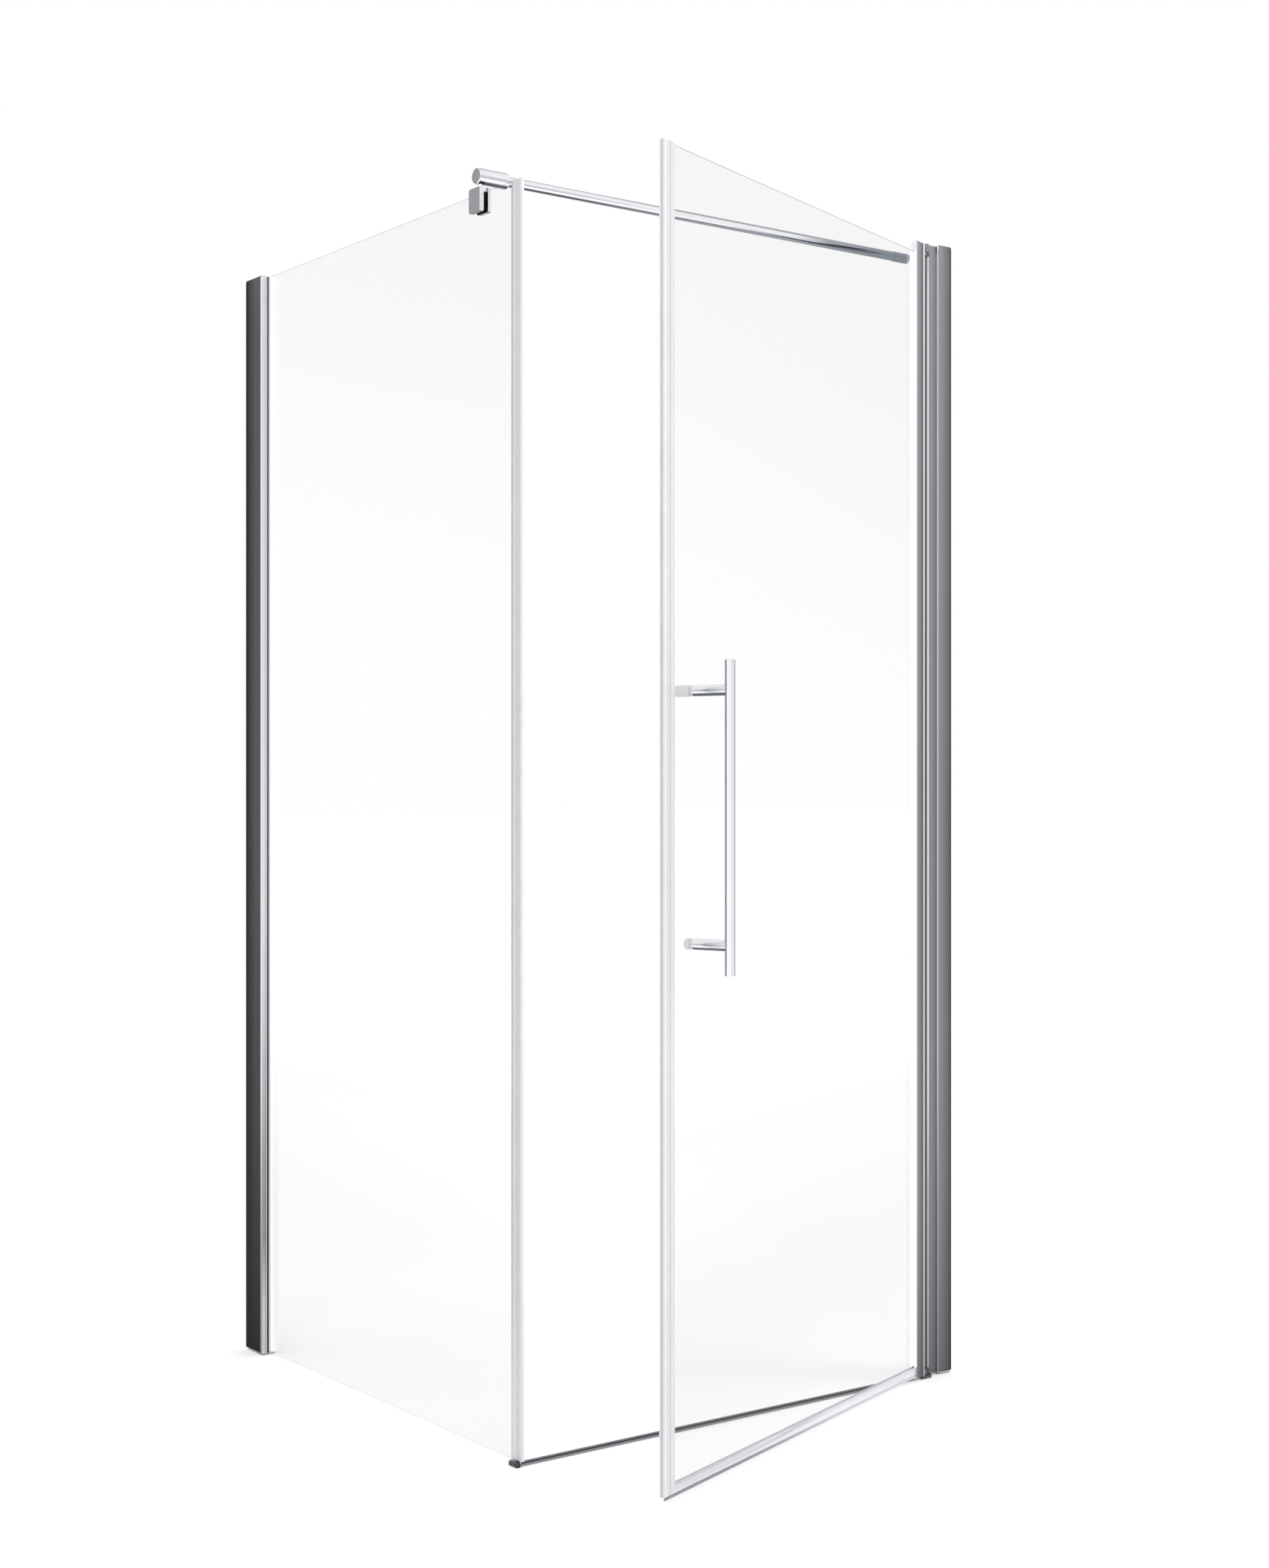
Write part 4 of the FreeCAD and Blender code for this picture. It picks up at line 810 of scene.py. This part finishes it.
class ShowerFinishes(bpy.types.PropertyGroup):
    """Colours that a user may change."""
    chrome: bpy.props.FloatVectorProperty(
        name="Chrome", description="Colour of the handle, the support bar and its fittings",
        subtype="COLOR", size=3, min=0, max=1, default=(0.98, 0.982, 0.99))
    plastic: bpy.props.FloatVectorProperty(
        name="Plastic ends", description="Colour of the end pieces and caps",
        subtype="COLOR", size=3, min=0, max=1, default=(0.6, 0.61, 0.635))
    floor: bpy.props.FloatVectorProperty(
        name="Floor", description="Colour of the studio floor",
        subtype="COLOR", size=3, min=0, max=1, default=(0.93, 0.93, 0.93))


class ShowerSizes(bpy.types.PropertyGroup):
    """Sizes that a user may change."""
    profile_edge: bpy.props.FloatProperty(
        name="Profile edge", description="Radius of the eased edges of the aluminium profiles",
        unit="LENGTH", min=0, default=0.0005)
    glass_arris: bpy.props.FloatProperty(
        name="Glass arris", description="Width of the ground edge of the panes",
        unit="LENGTH", min=0, default=0.001)
    seal_edge: bpy.props.FloatProperty(
        name="Seal edge", description="Radius of the edges of the clear seals",
        unit="LENGTH", min=0, default=0.0003)
    fitting_edge: bpy.props.FloatProperty(
        name="Fitting edge", description="Radius of the edges of the plated fittings",
        unit="LENGTH", min=0, default=0.0009)


class StudioSettings(bpy.types.PropertyGroup):
    """Camera and lamps."""
    camera_place: bpy.props.FloatVectorProperty(
        name="Camera place", description="Where the camera stands", subtype="TRANSLATION", size=3,
        default=(-1.8159, -2.7299, 1.0065))
    camera_heading: bpy.props.FloatProperty(
        name="Camera heading", description="How far the camera is turned to the right of straight ahead",
        subtype="ANGLE", default=math.radians(36.58))
    lens: bpy.props.FloatProperty(
        name="Lens", description="Focal length for a sensor 36 mm wide", min=10, default=63.02)
    key_power: bpy.props.FloatProperty(
        name="Key lamp", description="Power of the large soft lamp, in watts", min=0, default=70)
    room_light: bpy.props.FloatProperty(
        name="Room light", description="Strength of the even light all round", min=0, default=0.8)


class SHOWER_OT_profiles(bpy.types.Operator):
    """Finishes the aluminium profiles, the post and the rail"""
    bl_idname = "shower.profiles"
    bl_label = "Profiles"

    def execute(self, context):
        edge = context.scene.shower_sizes.profile_edge
        rounded("side_glass_profile", "side_profile_shell", made(side_profile_finish), edge)
        rounded("door_wall_profile", "wall_profile", made(wall_profile_finish), edge * 2, 3)
        rounded("post_profile", "pivot_post", made(post_finish), edge)
        rounded("door_hinge_profile", "hinge_profile", made(hinge_profile_finish), edge)
        rounded("threshold_rail", "rail", made(rail_finish), edge)
        dress("side_wall_profile", made(post_finish))
        return {"FINISHED"}


class SHOWER_OT_pivots(bpy.types.Operator):
    """Finishes the upper and lower pivots and the foot at the corner"""
    bl_idname = "shower.pivots"
    bl_label = "Pivots and corner foot"

    def execute(self, context):
        edge = context.scene.shower_sizes.fitting_edge
        rounded("bottom_pivot_block", "lower_pivot_block", made(block_finish), edge * 0.6)
        rounded("top_pivot_block", "upper_pivot_arm", made(post_finish), edge * 0.3)
        rounded("corner_foot", "corner_shoe", made(dark_chrome_finish), edge * 1.5, 3)
        for node in ("bottom_pivot_pin", "top_pivot_pin", "pivot_block_screw", "top_block_screw"):
            dress(node, made(steel_finish))
        for node in ("top_bush", "bottom_bush", "pivot_washer"):
            dress(node, made(black_plastic_finish))
        return {"FINISHED"}


class SHOWER_OT_panes(bpy.types.Operator):
    """Makes the two panes with their ground edges"""
    bl_idname = "shower.panes"
    bl_label = "Glass panes"

    def execute(self, context):
        arris = context.scene.shower_sizes.glass_arris
        side = glass_finish("side_pane_glass", LEFT, BACK, slope=(0, -0.24), low_grey=(1.65, 1.65),
                            out_of_pane=side_depth, top=top_of("side_glass"))
        door = glass_finish("door_pane_glass", OUT_OF_DOOR, TO_FREE_EDGE, slope=(0.2, 0), low_grey=(1.5, 2.2),
                            out_of_pane=lambda f: door_depth(f) - HALF_GLASS, top=top_of("door_glass"))
        rounded("side_glass", "side_pane", side, arris, 1)
        rounded("door_glass", "door_pane", door, arris, 1)
        return {"FINISHED"}


class SHOWER_OT_seals(bpy.types.Operator):
    """Makes the clear seals, the gaskets and the magnets"""
    bl_idname = "shower.seals"
    bl_label = "Seals and gaskets"

    def execute(self, context):
        edge = context.scene.shower_sizes.seal_edge
        side = made(seal_finish, "side_seal_clear", 0.82, side_seal_lines, foot=0.5)
        door = made(seal_finish, "door_seal_clear", 0.78, door_seal_lines)
        bottom = made(seal_finish, "bottom_seal_clear", 0.7, bottom_seal_lines, glow=0.1)
        cover = made(seal_finish, "cover_strip_clear", 0.03)
        rounded("side_edge_seal", "side_seal", side, edge)
        rounded("door_edge_seal", "door_seal", door, edge)
        rounded("door_bottom_seal", "bottom_seal", bottom, edge)
        rounded("hinge_cover_strip", "cover_strip", cover, edge)
        dress("side_bottom_strip", made(seal_finish, "sill_clear", 0.08))
        dress("side_gasket_inner", made(pale_gasket_finish, "gasket_pale"))
        dress("door_glazing_gasket", made(pale_gasket_finish, "glazing_pale"))
        dress("door_seal_clip", made(seal_finish, "clip_smoky", 0.85, base="8c8d91"))
        dress("door_seal_lip", made(soft_lip_finish))
        dress("side_gasket_outer", made(gasket_finish))
        dress("clamp_gasket", made(clamp_gasket_finish))
        dress("hinge_bead", made(bead_finish))
        for node in ("side_edge_magnet", "door_edge_magnet"):
            dress(node, made(magnet_finish))
        return {"FINISHED"}


class SHOWER_OT_ends(bpy.types.Operator):
    """Finishes the plastic end pieces and the caps over the fixing screws"""
    bl_idname = "shower.ends"
    bl_label = "End pieces and caps"

    def execute(self, context):
        plastic = made(grey_plastic_finish, "grey_moulding", tuple(context.scene.shower_finishes.plastic))
        edge = context.scene.shower_sizes.fitting_edge
        for node, name in (("side_fixing_caps", "side_caps"), ("door_fixing_caps", "wall_caps")):
            rounded(node, name, plastic, edge, 3)
        for node, name in (("side_profile_foot", "side_foot"), ("door_profile_foot", "wall_profile_foot"),
                           ("post_foot", "pivot_post_foot")):
            rounded(node, name, made(foot_finish), edge * 0.5)
        knob = made(pale_plastic_finish, "knob_plastic")
        for node, name in (("handle_inner_knob", "inner_knob"), ("handle_inner_cap", "inner_cap")):
            rounded(node, name, knob, edge, 3)
        dress("handle_washers", knob)
        rounded("side_profile_cap", "side_top_cap", made(side_profile_finish), edge * 0.5)
        rounded("door_profile_cap", "wall_profile_cap", made(wall_profile_finish), edge * 0.5)
        for node, name in (("door_top_cap", "hinge_top_cap"), ("door_bottom_cap", "hinge_bottom_cap")):
            rounded(node, name, made(hinge_profile_finish), edge * 0.3)
        for node in ("side_fixing_screws", "door_fixing_screws", "cap_screws"):
            dress(node, made(steel_finish))
        return {"FINISHED"}


class SHOWER_OT_handle(bpy.types.Operator):
    """Finishes the bar handle and its posts"""
    bl_idname = "shower.handle"
    bl_label = "Bar handle"

    def execute(self, context):
        base = tuple(context.scene.shower_finishes.chrome)
        edge = context.scene.shower_sizes.fitting_edge
        rounded("handle_bar", "handle", made(upright_chrome_finish, "handle_chrome", base), edge * 0.5)
        posts = made(level_chrome_finish, "post_chrome", base, POST_REFLECTION_RUNS, roughness=0.2)
        rounded("handle_posts", "posts", posts, edge * 0.5)
        dress("handle_screws", made(pale_plastic_finish, "knob_plastic"))
        return {"FINISHED"}


class SHOWER_OT_support(bpy.types.Operator):
    """Finishes the support bar, its clamp on the glass and its wall socket"""
    bl_idname = "shower.support"
    bl_label = "Support bar"

    def execute(self, context):
        base = tuple(context.scene.shower_finishes.chrome)
        edge = context.scene.shower_sizes.fitting_edge
        bar_chrome = made(level_chrome_finish, "bar_chrome", base, BAR_REFLECTION_RUNS)
        rounded("support_bar", "bar", bar_chrome, edge * 0.5)
        rounded("bar_wall_socket", "wall_socket", bar_chrome, edge * 0.8, 3)
        holder_chrome = made(level_chrome_finish, "holder_chrome", base, BAR_REFLECTION_RUNS[:1])
        rounded("bar_holder", "holder", holder_chrome, edge, 3)
        rounded("clamp_outer_jaw", "outer_jaw", made(clamp_finish), edge, 3)
        rounded("clamp_inner_jaw", "inner_jaw", made(clamp_finish), edge, 3)
        dress("clamp_stud", made(plain_chrome_finish, "stud_chrome", base))
        for node in ("clamp_screws", "holder_grub_screw", "socket_grub_screw"):
            dress(node, made(steel_finish))
        return {"FINISHED"}


def lamp(name, place, target, size, power):
    """A soft rectangular lamp that no gloss shows."""
    light = bpy.data.lights.new(name, "AREA")
    light.shape = "RECTANGLE"
    light.size, light.size_y = size
    light.energy = power
    holder = bpy.data.objects.new(name, light)
    holder.location = place
    holder.rotation_euler = (Vector(target) - Vector(place)).to_track_quat("-Z", "Y").to_euler()
    holder.visible_glossy = False
    bpy.context.scene.collection.objects.link(holder)


class SHOWER_OT_studio(bpy.types.Operator):
    """Sets up the floor, the light all round, the lamps and the camera"""
    bl_idname = "shower.studio"
    bl_label = "Studio"

    def execute(self, context):
        scene = context.scene
        studio = scene.shower_studio
        self.floor(scene.shower_finishes.floor)
        self.room(scene, studio.room_light)
        lamp("key_lamp", (-2.6, -3.4, 3.6), (0.3, 0.2, 0.9), (3.0, 2.4), studio.key_power)
        lamp("fill_lamp", (3.2, -2.6, 2.6), (0.4, 0.2, 0.9), (2.4, 2.4), studio.key_power * 0.5)
        self.camera(scene, studio)
        scene.view_settings.view_transform = "Standard"
        return {"FINISHED"}

    def floor(self, colour):
        """A plain pale floor, as white as the room where it is seen."""
        mesh = bpy.data.meshes.new("floor")
        work = bmesh.new()
        bmesh.ops.create_grid(work, x_segments=12, y_segments=12, size=FLOOR_REACH)
        work.to_mesh(mesh)
        work.free()
        piece = bpy.data.objects.new("floor", mesh)
        piece.location = (0, 0, -FLOOR_GAP)
        bpy.context.scene.collection.objects.link(piece)
        f = finish("studio_floor")
        glow = f.mix(self.seen(f), (0, 0, 0), FLOOR_GLOW)
        mottle = f.noise(3.0)
        base = f.mix(f.ramp(mottle, 0.3, 0.7, 0.0, 0.1), tuple(colour), tuple(c * 0.96 for c in colour))
        mesh.materials.append(f.surface(Base_Color=base, Roughness=0.9, Specular_IOR_Level=0.0,
                                        Emission_Color=glow, Emission_Strength=1.0))

    def seen(self, f):
        """1 for what the camera, the gloss and the glass see."""
        path = f.add("ShaderNodeLightPath").outputs
        camera, gloss, through = (Amount(f, path[name]) for name in
                                  ("Is Camera Ray", "Is Glossy Ray", "Is Transmission Ray"))
        return camera.most(gloss).most(through)

    def room(self, scene, strength):
        """An even white room."""
        world = bpy.data.worlds.new("studio_room")
        scene.world = world
        f = Finish(world)
        shade = f.add("ShaderNodeBackground", None, {"Color": (1, 1, 1),
                                                     "Strength": self.seen(f) * (1 - strength) + strength})
        f.add("ShaderNodeOutputWorld", None, {"Surface": shade.outputs[0]})

    def camera(self, scene, studio):
        """The level camera that takes the picture."""
        data = bpy.data.cameras.new("camera")
        data.sensor_fit = "HORIZONTAL"
        data.sensor_width = 36
        data.lens = studio.lens
        data.clip_end = 200
        holder = bpy.data.objects.new("camera", data)
        holder.location = studio.camera_place
        holder.rotation_euler = (math.pi / 2, 0, -studio.camera_heading)
        scene.collection.objects.link(holder)
        scene.camera = holder


class SHOWER_PT_panel(bpy.types.Panel):
    """Steps that dress the shower enclosure"""
    bl_idname = "SHOWER_PT_panel"
    bl_label = "Shower Enclosure"
    bl_space_type = "VIEW_3D"
    bl_region_type = "UI"
    bl_category = "Shower"

    def draw(self, context):
        layout, scene = self.layout, context.scene
        for group in (scene.shower_sizes, scene.shower_finishes, scene.shower_studio):
            for name in group.__annotations__:
                layout.prop(group, name)
        for step in STEPS:
            layout.operator(step.bl_idname)


GROUPS = {"shower_finishes": ShowerFinishes, "shower_sizes": ShowerSizes, "shower_studio": StudioSettings}
STEPS = (SHOWER_OT_profiles, SHOWER_OT_pivots, SHOWER_OT_panes, SHOWER_OT_seals, SHOWER_OT_ends,
         SHOWER_OT_handle, SHOWER_OT_support, SHOWER_OT_studio)


def register():
    for kind in (*GROUPS.values(), *STEPS, SHOWER_PT_panel):
        bpy.utils.register_class(kind)
    for name, group in GROUPS.items():
        setattr(bpy.types.Scene, name, bpy.props.PointerProperty(type=group))


def unregister():
    for name in GROUPS:
        delattr(bpy.types.Scene, name)
    for kind in (SHOWER_PT_panel, *reversed(STEPS), *GROUPS.values()):
        bpy.utils.unregister_class(kind)


def main():
    register()
    bpy.ops.shower.profiles()
    bpy.ops.shower.pivots()
    bpy.ops.shower.panes()
    bpy.ops.shower.seals()
    bpy.ops.shower.ends()
    bpy.ops.shower.handle()
    bpy.ops.shower.support()
    bpy.ops.shower.studio()


if __name__ == "__main__":
    main()
